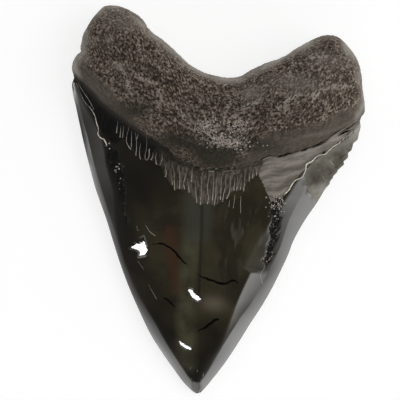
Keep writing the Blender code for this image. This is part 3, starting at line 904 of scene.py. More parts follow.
def drawn_noise(tree, vector, stretch, *settings):
    """Noise drawn out along the axes that the stretch makes small."""
    return noise(tree, vector_calc(tree, "MULTIPLY", vector, stretch), *settings)


def tint(tree, factor, under, over):
    """The colour under, covered by the colour over as far as the factor says."""
    node = add(tree, "ShaderNodeMix", {0: factor}, data_type="RGBA")
    feed(tree, node.inputs[6], under)
    feed(tree, node.inputs[7], over)
    return node.outputs[2]


def mask(tree, name):
    """A feature mask of the body, in a material."""
    return add(tree, "ShaderNodeAttribute", attribute_name=name).outputs["Fac"]


def stain(tree, colour, name, share, over):
    """The colour, covered by this share of another colour where the mask is."""
    return tint(tree, calc(tree, "MULTIPLY", mask(tree, name), share), colour, over)


def named(tree, name, data_type="FLOAT"):
    """One of the mesh's attributes, in a geometry tree."""
    node = add(tree, "GeometryNodeInputNamedAttribute", {"Name": name}, data_type=data_type)
    return node.outputs["Attribute"]


def new_tree(kind, name, inputs, outputs):
    """An empty tree with named sockets. Gives the tree, its input sockets by name, and its output node."""
    tree = bpy.data.node_groups.new(name, kind)
    for label, socket_kind, value in inputs:
        socket = tree.interface.new_socket(label, in_out="INPUT", socket_type="NodeSocket" + socket_kind)
        if value is not None:
            socket.default_value = value
    for label, socket_kind in outputs:
        tree.interface.new_socket(label, in_out="OUTPUT", socket_type="NodeSocket" + socket_kind)
    entry, end = tree.nodes.new("NodeGroupInput"), tree.nodes.new("NodeGroupOutput")
    return tree, {socket.name: socket for socket in entry.outputs if socket.name}, end


def grown(source, tree, name, **values):
    """The plain mesh that a geometry tree makes from the source mesh, as a new object."""
    carrier = bpy.data.objects.new(name, source)
    bpy.context.scene.collection.objects.link(carrier)
    modifier = carrier.modifiers.new(name, "NODES")
    modifier.node_group = tree
    for socket in tree.interface.items_tree:
        key = socket.name.lower().replace(" ", "_")
        if socket.in_out == "INPUT" and key in values:
            modifier[socket.identifier] = values[key]
    bpy.context.view_layer.update()
    result = bpy.data.meshes.new_from_object(carrier.evaluated_get(bpy.context.evaluated_depsgraph_get()))
    carrier.modifiers.remove(modifier)
    carrier.data = result
    result.name = name
    return carrier


def stored(tree, geometry, name, value):
    """The geometry with a value written on its points under this name."""
    sockets = {"Geometry": geometry, "Name": name, "Value": value}
    return add(tree, "GeometryNodeStoreNamedAttribute", sockets).outputs[0]


def realized(tree, geometry, finish):
    """The geometry as plain faces in one material."""
    whole = add(tree, "GeometryNodeRealizeInstances", {"Geometry": geometry}).outputs[0]
    return add(tree, "GeometryNodeSetMaterial", {"Geometry": whole, "Material": finish}).outputs[0]


def weathered_root_tree():
    """Opens pores in the root along its fibres, lifts low lumps between them, and dresses each face."""
    tree, given, end = new_tree("GeometryNodeTree", "weathered_root", [
        ("Geometry", "Geometry", None), ("Pore Spacing", "Float", 0.0010), ("Pore Depth", "Float", 0.0004),
        ("Lump Spacing", "Float", 0.006), ("Lump Height", "Float", 0.0003), ("Swell Spacing", "Float", 0.012),
        ("Swell Height", "Float", 0.00004), ("Seed", "Float", 3.0),
        ("Enamel", "Material", None), ("Root Stone", "Material", None), ("Worn", "Material", None),
    ], [("Geometry", "Geometry")])
    place = add(tree, "GeometryNodeInputPosition").outputs[0]
    normal = add(tree, "GeometryNodeInputNormal").outputs[0]
    fibre = named(tree, "fibre", "FLOAT_VECTOR")
    porosity = named(tree, "porosity")
    root = named(tree, "root")
    shift = add(tree, "ShaderNodeCombineXYZ", {0: given["Seed"], 1: given["Seed"]}).outputs[0]
    place = vector_calc(tree, "ADD", place, shift)
    per_pore = calc(tree, "DIVIDE", 1.0, given["Pore Spacing"])

    sockets = {"Vector": place, "Scale": calc(tree, "MULTIPLY", per_pore, 0.4), "Detail": 2.0}
    bend = add(tree, "ShaderNodeTexNoise", sockets).outputs["Color"]
    bend = vector_calc(tree, "SUBTRACT", bend, (0.5, 0.5, 0.5))
    bend = vector_calc(tree, "SCALE", bend, calc(tree, "MULTIPLY", given["Pore Spacing"], 1.6))
    along = vector_calc(tree, "MULTIPLY", fibre, (0.8, 1.0, 1.0))
    along = vector_calc(tree, "ADD", along, bend)
    wide = add(tree, "ShaderNodeTexVoronoi", {"Vector": along, "Scale": per_pore}).outputs["Distance"]
    fine = {"Vector": along, "Scale": calc(tree, "MULTIPLY", per_pore, 1.9)}
    fine = add(tree, "ShaderNodeTexVoronoi", fine).outputs["Distance"]
    crowd = ramp(tree, noise(tree, place, calc(tree, "MULTIPLY", per_pore, 0.16)), 0.3, 0.62, 0.25, 1.0)
    pore = calc(tree, "MULTIPLY", ramp(tree, wide, 0.12, 0.5, 1.0, 0.0), crowd)
    pore = calc(tree, "MAXIMUM", pore, ramp(tree, fine, 0.1, 0.5, 0.7, 0.0))
    pore = calc(tree, "MULTIPLY", pore, porosity)

    threads = vector_calc(tree, "MULTIPLY", fibre, (0.16, 1.0, 1.0))
    threads = calc(tree, "SUBTRACT", noise(tree, threads, calc(tree, "MULTIPLY", per_pore, 0.9), 3.0), 0.5)
    lumps = noise(tree, place, calc(tree, "DIVIDE", 1.0, given["Lump Spacing"]), 3.0, 0.55)
    lumps = calc(tree, "SUBTRACT", lumps, 0.5)
    lift = calc(tree, "ADD", lumps, calc(tree, "MULTIPLY", threads, 0.9))
    lift = calc(tree, "MULTIPLY", calc(tree, "MULTIPLY", lift, given["Lump Height"]), root)
    swell = noise(tree, place, calc(tree, "DIVIDE", 1.0, given["Swell Spacing"]), 1.0)
    swell = calc(tree, "MULTIPLY", calc(tree, "SUBTRACT", swell, 0.5), given["Swell Height"])
    lift = calc(tree, "ADD", lift, swell)
    lift = calc(tree, "SUBTRACT", lift, calc(tree, "MULTIPLY", pore, given["Pore Depth"]))
    place = add(tree, "GeometryNodeInputPosition").outputs[0]
    height = add(tree, "ShaderNodeSeparateXYZ", {0: place}).outputs[2]
    lift = calc(tree, "MULTIPLY", lift, ramp(tree, height, 0.0, 0.0006))

    offset = vector_calc(tree, "SCALE", normal, lift)
    moved = add(tree, "GeometryNodeSetPosition", {"Geometry": given["Geometry"], "Offset": offset}).outputs[0]
    moved = stored(tree, moved, "pore", pore)
    dressed = realized(tree, moved, given["Enamel"])
    for faces, finish in (("is_worn", "Worn"), ("is_root", "Root Stone")):
        sockets = {"Geometry": dressed, "Selection": named(tree, faces, "BOOLEAN"), "Material": given[finish]}
        dressed = add(tree, "GeometryNodeSetMaterial", sockets).outputs[0]
    feed(tree, end.inputs[0], dressed)
    return tree


def thread_tree():
    """Round threads along polylines, as wide as each point's width says, with a slight waver."""
    tree, given, end = new_tree("GeometryNodeTree", "threads", [
        ("Geometry", "Geometry", None), ("Step", "Float", 0.0003), ("Waver", "Float", 0.0001),
        ("Waver Spacing", "Float", 0.0015), ("Sides", "Int", 7), ("Material", "Material", None),
    ], [("Geometry", "Geometry")])
    curves = add(tree, "GeometryNodeMeshToCurve", {"Mesh": given["Geometry"]}).outputs[0]
    sockets = {"Curve": curves, "Length": given["Step"]}
    curves = add(tree, "GeometryNodeResampleCurve", sockets, mode="LENGTH").outputs[0]
    place = add(tree, "GeometryNodeInputPosition").outputs[0]
    sockets = {"Vector": place, "Scale": calc(tree, "DIVIDE", 1.0, given["Waver Spacing"]), "Detail": 2.0}
    waver = add(tree, "ShaderNodeTexNoise", sockets).outputs["Color"]
    waver = vector_calc(tree, "SUBTRACT", waver, (0.5, 0.5, 0.5))
    waver = vector_calc(tree, "MULTIPLY", waver, (1.0, 1.0, 0.0))
    waver = vector_calc(tree, "SCALE", waver, given["Waver"])
    curves = add(tree, "GeometryNodeSetPosition", {"Geometry": curves, "Offset": waver}).outputs[0]
    share = add(tree, "GeometryNodeSplineParameter").outputs["Factor"]
    curves = stored(tree, curves, "down", share)
    sockets = {"Resolution": given["Sides"], "Radius": 0.5}
    profile = add(tree, "GeometryNodeCurvePrimitiveCircle", sockets).outputs[0]
    sockets = {"Curve": curves, "Profile Curve": profile, "Scale": named(tree, "width"), "Fill Caps": True}
    tubes = add(tree, "GeometryNodeCurveToMesh", sockets).outputs[0]
    tubes = add(tree, "GeometryNodeSetShadeSmooth", {"Geometry": tubes}).outputs[0]
    feed(tree, end.inputs[0], realized(tree, tubes, given["Material"]))
    return tree


def grain_tree():
    """Small crystals scattered over a skin, where its grains value says, each turned and sized at random."""
    tree, given, end = new_tree("GeometryNodeTree", "mineral_grains", [
        ("Geometry", "Geometry", None), ("Grains Each Square Metre", "Float", 4.0e6),
        ("Smallest", "Float", 0.0001), ("Largest", "Float", 0.0003), ("Seed", "Int", 5),
        ("Material", "Material", None),
    ], [("Geometry", "Geometry")])
    density = calc(tree, "MULTIPLY", given["Grains Each Square Metre"], named(tree, "grains"))
    sockets = {"Mesh": given["Geometry"], "Density": density, "Seed": given["Seed"]}
    points = add(tree, "GeometryNodeDistributePointsOnFaces", sockets).outputs["Points"]
    crystal = add(tree, "GeometryNodeMeshIcoSphere", {"Radius": 1.0, "Subdivisions": 1}).outputs["Mesh"]
    size = add(tree, "FunctionNodeRandomValue", {"Seed": given["Seed"]}, data_type="FLOAT")
    feed(tree, size.inputs[2], given["Smallest"])
    feed(tree, size.inputs[3], given["Largest"])
    turn = add(tree, "FunctionNodeRandomValue", {"Seed": given["Seed"]}, data_type="FLOAT_VECTOR")
    turn.inputs[1].default_value = (math.tau, math.tau, math.tau)
    sockets = {"Points": points, "Instance": crystal, "Rotation": turn.outputs[0], "Scale": size.outputs[1]}
    placed = add(tree, "GeometryNodeInstanceOnPoints", sockets).outputs[0]
    feed(tree, end.inputs[0], realized(tree, placed, given["Material"]))
    return tree


# --------------------------------------------------------------------------------------------------
# Finishes.
# --------------------------------------------------------------------------------------------------
def new_finish(name, roughness, ior=1.5):
    """A material with its tree and its shader."""
    material = bpy.data.materials.new(name)
    material.use_nodes = True
    shader = material.node_tree.nodes["Principled BSDF"]
    shader.inputs["Roughness"].default_value = roughness
    shader.inputs["IOR"].default_value = ior
    return material, material.node_tree, shader


def object_place(tree):
    """The place on the object, in metres."""
    return add(tree, "ShaderNodeTexCoord").outputs["Object"]


def fibre_place(tree):
    """The place on the body across and along its fibres, in metres."""
    return add(tree, "ShaderNodeAttribute", attribute_name="fibre").outputs["Vector"]


def grain_group():
    """Fine stone grain: a value from 0 to 1 round 0.5, at a size in metres."""
    tree, given, end = new_tree("ShaderNodeTree", "stone_grain", [
        ("Vector", "Vector", None), ("Grain Size", "Float", 0.0005), ("Contrast", "Float", 1.0),
    ], [("Grain", "Float")])
    rough = noise(tree, given["Vector"], calc(tree, "DIVIDE", 1.0, given["Grain Size"]), 4.0, 0.65)
    grain = calc(tree, "MULTIPLY_ADD", calc(tree, "SUBTRACT", rough, 0.5), given["Contrast"], 0.5)
    feed(tree, end.inputs[0], grain)
    return tree


def use(tree, group, inputs):
    """A placed node group's first result."""
    node = tree.nodes.new("ShaderNodeGroup")
    node.node_tree = group
    for name, value in inputs.items():
        feed(tree, node.inputs[name], value)
    return node.outputs[0]


# The root, from its two ground colours to what lies on them, and the near-black of painted shade in the cleft
# under it.
ROOT_BROWN, ROOT_TAN = (0.080, 0.054, 0.036, 1), (0.112, 0.086, 0.063, 1)
TAN_PATCH, TAN_STREAK = (0.19, 0.157, 0.128, 1), (0.24, 0.205, 0.17, 1)
BROWN_STREAK, PALE_GRAIN = (0.045, 0.032, 0.022, 1), (0.34, 0.28, 0.225, 1)
DARK_GRAIN, OPEN_PORE = (0.018, 0.012, 0.008, 1), (0.014, 0.009, 0.006, 1)
PALE_VEIN, SKIN_DARK, SKIN_LIGHT = (0.42, 0.37, 0.31, 1), (0.036, 0.029, 0.022, 1), (0.074, 0.063, 0.049, 1)
# Painted shade for the root's hollows, a pale tone, and the rim's grey, which is partly wear and partly painted
# light.
HOLLOW_SHADE, PALE_PLACE, WORN_AND_LIT_RIM = (0.020, 0.016, 0.010, 1), (0.30, 0.265, 0.23, 1), (0.36, 0.335, 0.295, 1)
CRYSTAL_CRUST, CLEFT_SHADE = (0.50, 0.43, 0.37, 1), (0.012, 0.010, 0.008, 1)
STREAK_STRETCH, PATCH_STRETCH, SKIN_STRETCH = (0.11, 1.0, 1.0), (1.0, 0.35, 1.0), (1.0, 0.15, 1.0)
GRAIN_STRETCH = (0.75, 0.9, 1.0)


def root_stone(grain):
    """Brown porous root, with black pores, paler ridges, a grey rim that is partly worn and partly painted
    light, a smooth skin and crystals, and painted shade in its hollows and in the cleft under it.
    """
    material, tree, shader = new_finish("root_stone", 0.75)
    shader.inputs["Specular IOR Level"].default_value = 0.12
    place, fibre = object_place(tree), fibre_place(tree)
    cloud = noise(tree, place, 120.0, 3.0)
    streaks = drawn_noise(tree, fibre, STREAK_STRETCH, 620.0, 3.0, 0.6)
    patches = drawn_noise(tree, fibre, PATCH_STRETCH, 260.0, 3.0, 0.6)
    ribs = drawn_noise(tree, fibre, SKIN_STRETCH, 900.0, 3.0, 0.6)
    along = vector_calc(tree, "MULTIPLY", fibre, GRAIN_STRETCH)
    fine = use(tree, grain, {"Vector": along, "Grain Size": 0.0006, "Contrast": 4.6})
    holes = add(tree, "ShaderNodeTexVoronoi", {"Vector": place, "Scale": 1150.0}).outputs["Distance"]
    colour = tint(tree, ramp(tree, cloud, 0.35, 0.65), ROOT_BROWN, ROOT_TAN)
    colour = tint(tree, ramp(tree, patches, 0.5, 0.72), colour, TAN_PATCH)
    colour = tint(tree, ramp(tree, streaks, 0.5, 0.7, 0.0, 0.6), colour, TAN_STREAK)
    colour = tint(tree, ramp(tree, streaks, 0.48, 0.32, 0.0, 0.75), colour, BROWN_STREAK)
    colour = tint(tree, ramp(tree, fine, 0.55, 1.1), colour, PALE_GRAIN)
    colour = stain(tree, colour, "vein", 0.7, PALE_VEIN)
    porous = mask(tree, "porosity")
    colour = tint(tree, calc(tree, "MULTIPLY", ramp(tree, fine, 0.45, 0.1), porous), colour, DARK_GRAIN)
    pore = calc(tree, "MULTIPLY", ramp(tree, holes, 0.3, 0.15), porous)
    pore = calc(tree, "MAXIMUM", calc(tree, "MULTIPLY", mask(tree, "pore"), 0.7), pore)
    colour = tint(tree, pore, colour, OPEN_PORE)
    skin = tint(tree, ramp(tree, ribs, 0.35, 0.68), SKIN_DARK, SKIN_LIGHT)
    colour = stain(tree, colour, "skin", 0.85, skin)
    # Painted shade: the hollows at the root's foot darkened.
    colour = stain(tree, colour, "dark_root", 0.95, HOLLOW_SHADE)
    colour = stain(tree, colour, "pale_root", 0.35, PALE_PLACE)
    # Partly real wear, partly painted light: the rim along the root's high edges made paler.
    colour = stain(tree, colour, "rim", ramp(tree, cloud, 0.35, 0.62, 0.2, 0.8), WORN_AND_LIT_RIM)
    colour = stain(tree, colour, "crust", ramp(tree, fine, 0.35, 0.7), CRYSTAL_CRUST)
    # Painted shade: the cleft under the root darkened nearly to black.
    colour = stain(tree, colour, "cleft_shade", 0.9, CLEFT_SHADE)
    feed(tree, shader.inputs["Base Color"], colour)
    bump = add(tree, "ShaderNodeBump", {"Strength": 0.5, "Distance": 0.0003, "Height": fine})
    feed(tree, shader.inputs["Normal"], bump.outputs[0])
    return material


# The enamel, from its two ground colours to what lies in its depth.
ENAMEL_BLACK, ENAMEL_BROWN = (0.018, 0.014, 0.007, 1), (0.036, 0.030, 0.015, 1)
PURE_BLACK, RUST_RED = (0.004, 0.003, 0.002, 1), (0.050, 0.023, 0.010, 1)
OLIVE_GREEN, GREEN_GREY = (0.078, 0.077, 0.044, 1), (0.052, 0.054, 0.042, 1)
PATCH_BROWN = (0.11, 0.092, 0.064, 1)
STREAK_GREY, GROOVE_BLACK = (0.075, 0.068, 0.048, 1), (0.005, 0.005, 0.004, 1)
UPRIGHT_STRETCH = (1.0, 0.12, 1.0)


def black_enamel():
    """Black glossy enamel with rust, olive and grey in its depth."""
    material, tree, shader = new_finish("black_enamel", 0.06, 1.6)
    place = object_place(tree)
    cloud = noise(tree, place, 110.0, 3.0)
    streaks = drawn_noise(tree, place, UPRIGHT_STRETCH, 620.0, 2.0)
    colour = tint(tree, ramp(tree, cloud, 0.35, 0.65), ENAMEL_BLACK, ENAMEL_BROWN)
    colour = stain(tree, colour, "black", 0.8, PURE_BLACK)
    colour = stain(tree, colour, "rust", 0.8, RUST_RED)
    colour = stain(tree, colour, "olive", ramp(tree, cloud, 0.35, 0.65, 0.3, 0.8), OLIVE_GREEN)
    colour = stain(tree, colour, "grey", 0.7, GREEN_GREY)
    colour = stain(tree, colour, "brown_patch", 0.9, PATCH_BROWN)
    colour = stain(tree, colour, "streaked", ramp(tree, streaks, 0.52, 0.75, 0.0, 0.8), STREAK_GREY)
    colour = stain(tree, colour, "groove", 0.6, GROOVE_BLACK)
    feed(tree, shader.inputs["Base Color"], colour)
    feed(tree, shader.inputs["Roughness"], ramp(tree, streaks, 0.4, 0.7, 0.05, 0.08))
    return material


# The worn places of the crown: the flange, the bourrelet's dark and brown ends, the pale band and the pits.
FLANGE_DARK, FLANGE_LIGHT = (0.085, 0.078, 0.062, 1), (0.19, 0.18, 0.15, 1)
FLANGE_CHALK, FLANGE_STAIN = (0.36, 0.34, 0.31, 1), (0.045, 0.034, 0.024, 1)
BLACK_GROOVE, BLACK_RIDGE = (0.002, 0.002, 0.002, 1), (0.008, 0.007, 0.006, 1)
BROWN_GROOVE, BROWN_RIDGE = (0.035, 0.028, 0.020, 1), (0.12, 0.10, 0.078, 1)
BAND_DARK, BAND_LIGHT = (0.125, 0.108, 0.09, 1), (0.27, 0.245, 0.215, 1)
PIT_BLACK, DARK_SPECK, PALE_SPECK = (0.003, 0.003, 0.003, 1), (0.03, 0.028, 0.025, 1), (0.20, 0.19, 0.165, 1)
BAND_STRETCH = (0.14, 1.0, 0.14)


def worn_flange(tree, place):
    """The colour of the rough right flange."""
    mottle = noise(tree, place, 260.0, 4.0, 0.6)
    stains = noise(tree, place, 150.0, 3.0, 0.6)
    colour = tint(tree, ramp(tree, mottle, 0.3, 0.7), FLANGE_DARK, FLANGE_LIGHT)
    colour = stain(tree, colour, "pale_flange", ramp(tree, mottle, 0.2, 0.6, 0.4, 0.9), FLANGE_CHALK)
    brown = calc(tree, "MULTIPLY", mask(tree, "stained_flange"), ramp(tree, stains, 0.35, 0.6, 0.3, 0.95))
    brown = calc(tree, "MAXIMUM", brown, ramp(tree, stains, 0.6, 0.7, 0.0, 0.7))
    return tint(tree, brown, colour, FLANGE_STAIN)


def worn_enamel(grain):
    """Enamel that lost its polish: the ribbed bourrelet, the pitted strips and the rough right flange, with
    painted shade in the cleft under the root.
    """
    material, tree, shader = new_finish("worn_enamel", 0.6)
    shader.inputs["Specular IOR Level"].default_value = 0.05
    place = object_place(tree)
    fine = use(tree, grain, {"Vector": place, "Grain Size": 0.0006, "Contrast": 2.6})
    ribs = drawn_noise(tree, place, UPRIGHT_STRETCH, 1300.0, 2.0, 0.6)
    ridge = ramp(tree, ribs, 0.4, 0.65)
    paler = mask(tree, "paler_worn")
    black = tint(tree, ridge, BLACK_GROOVE, BLACK_RIDGE)
    brown = tint(tree, ridge, BROWN_GROOVE, BROWN_RIDGE)
    bands = drawn_noise(tree, fibre_place(tree), BAND_STRETCH, 900.0, 3.0, 0.6)
    pale = tint(tree, ramp(tree, bands, 0.36, 0.64), BAND_DARK, BAND_LIGHT)
    pitted = tint(tree, ramp(tree, fine, 0.66, 0.95), PIT_BLACK, tint(tree, paler, DARK_SPECK, PALE_SPECK))
    colour = tint(tree, mask(tree, "bourrelet"), worn_flange(tree, place), tint(tree, paler, black, brown))
    colour = tint(tree, mask(tree, "pale_band"), colour, pale)
    colour = tint(tree, mask(tree, "pits"), colour, pitted)
    # Painted shade: the cleft under the root darkened nearly to black.
    colour = stain(tree, colour, "cleft_shade", 0.9, CLEFT_SHADE)
    feed(tree, shader.inputs["Base Color"], colour)
    height = calc(tree, "ADD", fine, ribs)
    bump = add(tree, "ShaderNodeBump", {"Strength": 0.6, "Distance": 0.0003, "Height": height})
    feed(tree, shader.inputs["Normal"], bump.outputs[0])
    return material


# The small pieces: a dark and a light colour of each, and the colour of the threads' speckles.
THREAD_TOP, THREAD_FOOT = (0.07, 0.06, 0.047, 1), (0.46, 0.42, 0.355, 1)
THREAD_SPECKLE = (0.08, 0.07, 0.055, 1)
CREAM_DARK, CREAM_LIGHT = (0.50, 0.46, 0.36, 1), (0.92, 0.88, 0.76, 1)
CRACK_AND_CLEFT_SHADE_DARK, CRACK_AND_CLEFT_SHADE_LIGHT = (0.002, 0.002, 0.002, 1), (0.006, 0.005, 0.004, 1)
GRAIN_DARK, GRAIN_LIGHT = (0.16, 0.145, 0.105, 1), (0.62, 0.55, 0.50, 1)
SCRATCH_GREY = (0.32, 0.30, 0.265, 1)


def thread_finish(grain):
    """Pale tan threads, greyer at the top and brighter at the bottom."""
    material, tree, shader = new_finish("tan_threads", 0.5)
    speckle = use(tree, grain, {"Vector": object_place(tree), "Grain Size": 0.0008, "Contrast": 2.0})
    colour = tint(tree, mask(tree, "down"), THREAD_TOP, THREAD_FOOT)
    colour = tint(tree, ramp(tree, speckle, 0.5, 0.2), colour, THREAD_SPECKLE)
    feed(tree, shader.inputs["Base Color"], colour)
    return material


def cream_finish(grain):
    """The cream mineral along the broken edge of the enamel."""
    material, tree, shader = new_finish("cream_edge", 0.45)
    speckle = use(tree, grain, {"Vector": object_place(tree), "Grain Size": 0.0007, "Contrast": 2.0})
    colour = tint(tree, ramp(tree, speckle, 0.35, 0.7), CREAM_DARK, CREAM_LIGHT)
    feed(tree, shader.inputs["Base Color"], colour)
    return material


def crack_and_cleft_shade_finish(grain):
    """The black mineral that fills the cracks, also used for the black lines of painted shade in the clefts
    under the root.
    """
    material, tree, shader = new_finish("crack_black", 0.9)
    shader.inputs["Specular IOR Level"].default_value = 0.0
    speckle = use(tree, grain, {"Vector": object_place(tree), "Grain Size": 0.0005, "Contrast": 2.0})
    colour = tint(tree, speckle, CRACK_AND_CLEFT_SHADE_DARK, CRACK_AND_CLEFT_SHADE_LIGHT)
    feed(tree, shader.inputs["Base Color"], colour)
    return material


def scratch_finish():
    """Pale grey, where the polish is scratched."""
    material, _, shader = new_finish("pale_scratches", 0.6)
    shader.inputs["Base Color"].default_value = SCRATCH_GREY
    return material


def grain_finish(grain):
    """Pale crystals, from greenish cream to pinkish grey."""
    material, tree, shader = new_finish("mineral_grains", 0.4)
    speckle = use(tree, grain, {"Vector": object_place(tree), "Grain Size": 0.0012, "Contrast": 3.0})
    colour = tint(tree, speckle, GRAIN_DARK, GRAIN_LIGHT)
    feed(tree, shader.inputs["Base Color"], colour)
    return material


def floor_finish():
    """A pale floor that glows a little, as a lit white table does."""
    material, _, shader = new_finish("pale_floor", 0.9)
    shader.inputs["Base Color"].default_value = (FLOOR_GREY, FLOOR_GREY, FLOOR_GREY, 1)
    shader.inputs["Specular IOR Level"].default_value = 0.0
    shader.inputs["Emission Color"].default_value = (1.0, 1.0, 1.0, 1)
    shader.inputs["Emission Strength"].default_value = FLOOR_GLOW
    return material


# --------------------------------------------------------------------------------------------------
# Laying the small pieces on the body.
# --------------------------------------------------------------------------------------------------
LAY_STEP = 0.3              # how far apart the points of a laid line are, in millimetres
SEARCH_HEIGHT = 0.1         # how far above the table the search for the skin starts, in metres


def skin_finder(tooth):
    """Finds the body's upper skin: the point and the upward normal under a plan point in millimetres."""
    tree = BVHTree.FromObject(tooth, bpy.context.evaluated_depsgraph_get())

    def find(x, y):
        hit, normal, _, _ = tree.ray_cast(Vector((x * MM, y * MM, SEARCH_HEIGHT)), Vector((0, 0, -1)))
        return hit, normal

    return find


def laid_lines(name, lines, find, sink):
    """Polylines laid on the skin and sunk into it. Each point is (x, y, width) in millimetres."""
    points, edges, widths = [], [], []
    for line in lines:
        curve = smooth_curve(line)
        length = np.linalg.norm(np.diff(curve[:, :2], axis=0), axis=1).sum()
        curve = spread(curve, np.linspace(0, 1, max(3, int(length / LAY_STEP))))
        for i, (x, y, width) in enumerate(curve):
            hit, normal = find(x, y)
            if i:
                edges.append((len(points) - 1, len(points)))
            points.append(hit - normal * sink * width * MM)
            widths.append(width * MM)
    mesh = bpy.data.meshes.new(name + "_lines")
    mesh.from_pydata(points, edges, [])
    mark(mesh, "width", "POINT", widths, "FLOAT")
    return mesh


def with_widths(line, width, start=1.0, end=1.0):
    """Gives a line's points a width that changes evenly from its start share to its end share."""
    shares = np.linspace(start, end, len(line))
    return [(x, y, width * share) for (x, y), share in zip(line, shares)]


def place_piece(piece):
    """Lets a finished piece ride with the tooth and stand for the CAD tooth."""
    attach(piece, BODY)
    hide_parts(CAD_TOOTH)


# --------------------------------------------------------------------------------------------------
# Camera, floor and light.
# --------------------------------------------------------------------------------------------------
CAMERA_OVER = (-2.12, 1.33)         # the plan point under the camera
CAMERA_LENS, CAMERA_SENSOR = 300.0, 36.0
CAMERA_HEIGHT = 1070.0
CAMERA_ROLL = 6.0
CLIP_START, CLIP_END = 0.05, 50.0
FLOOR_RADIUS, FLOOR_SIDES = 8.0, 96
FLOOR_GLOW, FLOOR_GREY = 0.77, 0.36
# The soft key lamp: what it aims at, its azimuth and elevation in degrees, its distance, side and brightness.
KEY_AIM, KEY_DIRECTION, KEY_DISTANCE, KEY_SIDE, KEY_BRIGHTNESS = (0, 0, 0.01), (10, 50), 1.2, 0.9, 1.6
# The two small lamps that the facets mirror: how far off and how bright they are, and the side of each.
GLINT_DISTANCE, GLINT_BRIGHTNESS = 0.7, 26.0
LEFT_GLINT, MIDDLE_GLINT = 0.13, 0.22
# The brightness of the surroundings on both sides: (sine of the elevation, brightness).
RIGHT_SKY = [
    (0.0, 5.4), (0.04, 4.6), (0.09, 3.9), (0.17, 3.0), (0.26, 2.0), (0.34, 1.3), (0.44, 0.6), (0.57, 0.2),
    (0.8, 0.1),
]
LEFT_SKY = [
    (0.0, 6.6), (0.035, 4.2), (0.06, 2.9), (0.12, 1.6), (0.19, 0.9), (0.26, 0.5), (0.36, 0.2),
    (0.57, 0.12), (0.8, 0.1),
]
SKY_SCALE = 7.0             # the brightest that the surroundings' ramps can hold
FRONT_SKY, BACK_SKY = 2.1, 0.5
# Where each part of the surroundings fades in and out, by a direction's x, y and z.
RIGHT_FADE, FRONT_FADE, FRONT_TOP = (-0.3, 0.6), (-0.75, -0.9), (0.62, 0.5)
BACK_FADE, BACK_FOOT = (-0.08, 0.14), (0.03, 0.12)


def make_camera():
    """A long lens that looks straight down on the tooth."""
    data = bpy.data.cameras.new("camera")
    data.lens, data.sensor_width = CAMERA_LENS, CAMERA_SENSOR
    data.clip_start, data.clip_end = CLIP_START, CLIP_END
    camera = bpy.data.objects.new("camera", data)
    bpy.context.scene.collection.objects.link(camera)
    camera.location = (CAMERA_OVER[0] * MM, CAMERA_OVER[1] * MM, CAMERA_HEIGHT * MM)
    camera.rotation_euler = (0, 0, math.radians(CAMERA_ROLL))
    bpy.context.scene.camera = camera
    bpy.context.scene.view_settings.view_transform = "Standard"
    return camera


def make_floor():
    """A wide round floor for the tooth to lie on."""
    turns = np.linspace(0, math.tau, FLOOR_SIDES, endpoint=False)
    ring = [(FLOOR_RADIUS * math.cos(turn), FLOOR_RADIUS * math.sin(turn), 0.0) for turn in turns]
    mesh = bpy.data.meshes.new("floor")
    mesh.from_pydata(ring, [], [tuple(range(FLOOR_SIDES))])
    mesh.materials.append(floor_finish())
    floor = bpy.data.objects.new("floor", mesh)
    bpy.context.scene.collection.objects.link(floor)


def sky_direction(azimuth, elevation):
    """A direction: azimuth 0 is +X and 90 is +Y, in degrees."""
    a, e = math.radians(azimuth), math.radians(elevation)
    return Vector((math.cos(a) * math.cos(e), math.sin(a) * math.cos(e), math.sin(e)))


def softbox(name, target, direction, distance, width, height, radiance):
    """A rectangular lamp of this even brightness that faces the target."""
    data = bpy.data.lights.new(name, "AREA")
    data.shape = "RECTANGLE"
    data.size, data.size_y = width, height
    data.energy = radiance * math.pi * width * height
    lamp = bpy.data.objects.new(name, data)
    bpy.context.scene.collection.objects.link(lamp)
    lamp.location = Vector(target) + direction * distance
    lamp.rotation_euler = (-direction).to_track_quat("-Z", "Y").to_euler()
    lamp.visible_camera = False
    return lamp


def glint(name, camera, find, ring, slope, size):
    """A small lamp that a facet of this outline and slope mirrors to the camera."""
    point = find(*np.mean(ring, axis=0))[0]
    normal = Vector((-slope[0], -slope[1], 1)).normalized()
    to_camera = (camera.location - point).normalized()
    direction = 2 * normal.dot(to_camera) * normal - to_camera
    lamp = softbox(name, point, direction, GLINT_DISTANCE, size, size, GLINT_BRIGHTNESS)
    lamp.visible_diffuse = False


def stepped(tree, value, stops):
    """Grey that follows these stops of (value, brightness)."""
    node = add(tree, "ShaderNodeValToRGB", {0: value})
    elements = node.color_ramp.elements
    while len(elements) < len(stops):
        elements.new(0.5)
    for element, (place, brightness) in zip(elements, stops):
        element.position = place
        element.color = (brightness / SKY_SCALE,) * 3 + (1,)
    return node.outputs[0]


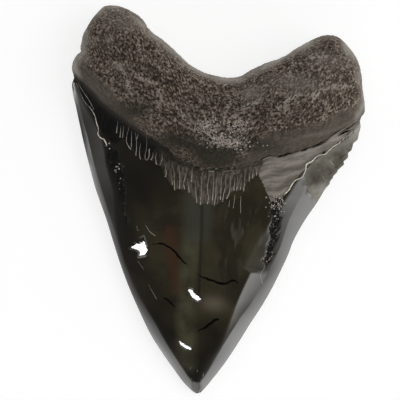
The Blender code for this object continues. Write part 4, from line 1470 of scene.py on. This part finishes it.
def make_surroundings():
    """A pale low surround, brighter on the right, that darkens towards the top, as under a dark ceiling."""
    world = bpy.data.worlds.new("surroundings")
    world.use_nodes = True
    tree = world.node_tree
    background = tree.nodes["Background"]
    direction = add(tree, "ShaderNodeTexCoord").outputs["Generated"]
    x, y, z = add(tree, "ShaderNodeSeparateXYZ", {0: direction}).outputs
    right, left = (stepped(tree, z, sky) for sky in (RIGHT_SKY, LEFT_SKY))
    brightness = tint(tree, ramp(tree, x, *RIGHT_FADE), left, right)
    ahead = calc(tree, "MULTIPLY", ramp(tree, y, *FRONT_FADE), ramp(tree, z, *FRONT_TOP))
    brightness = calc(tree, "MAXIMUM", brightness, calc(tree, "MULTIPLY", ahead, FRONT_SKY / SKY_SCALE))
    behind = calc(tree, "MULTIPLY", ramp(tree, y, *BACK_FADE), ramp(tree, z, *BACK_FOOT))
    brightness = tint(tree, behind, brightness, (BACK_SKY / SKY_SCALE,) * 3 + (1,))
    feed(tree, background.inputs["Strength"], calc(tree, "MULTIPLY", brightness, SKY_SCALE))
    background.inputs["Color"].default_value = (1, 1, 1, 1)
    bpy.context.scene.world = world


# --------------------------------------------------------------------------------------------------
# Putting it together.
# --------------------------------------------------------------------------------------------------
camera = make_camera()
make_floor()
make_surroundings()

grain = grain_group()
tooth = grown(
    tooth_body(), weathered_root_tree(), "megalodon_tooth_body",
    enamel=black_enamel(), root_stone=root_stone(grain), worn=worn_enamel(grain),
)
find_skin = skin_finder(tooth)
threads = thread_tree()
thread_lines = [with_widths(line, THREAD_WIDTH, 0.75, 1.1) for line in BOURRELET_THREADS]
bourrelet = grown(
    laid_lines("bourrelet_threads", thread_lines, find_skin, 0.2), threads, "bourrelet_threads",
    material=thread_finish(grain), waver=0.00025,
)
cream = grown(
    laid_lines("cream_enamel_edge", [CREAM_EDGE_RIGHT, CREAM_EDGE_LEFT], find_skin, 0.25), threads,
    "cream_enamel_edge", material=cream_finish(grain), waver=0.0004,
)
# The mineral-filled cracks, and black lines of painted shade in the clefts under the root.
cracks_and_cleft_shade = grown(
    laid_lines("filled_cracks", CRACKS + ROOT_CLEFT_SHADE_LINES, find_skin, 0.28), threads, "filled_cracks",
    material=crack_and_cleft_shade_finish(grain), waver=0.001,
)
scratch_lines = [with_widths(line, width, 0.6, 1.0) for line, width in SCRATCHES + PALE_FIBRES]
scratches = grown(
    laid_lines("pale_scratches", scratch_lines, find_skin, 0.35), threads, "pale_scratches",
    material=scratch_finish(), waver=0.0002,
)
grains = grown(tooth.data, grain_tree(), "mineral_grains", material=grain_finish(grain))
for piece in (tooth, bourrelet, cream, cracks_and_cleft_shade, scratches, grains):
    place_piece(piece)

key = softbox("key", KEY_AIM, sky_direction(*KEY_DIRECTION), KEY_DISTANCE, KEY_SIDE, KEY_SIDE, KEY_BRIGHTNESS)
key.visible_glossy = False
for name, (ring, slope), size in zip(("left_glint", "middle_glint"), FACETS, (LEFT_GLINT, MIDDLE_GLINT)):
    glint(name, camera, find_skin, ring, slope, size)
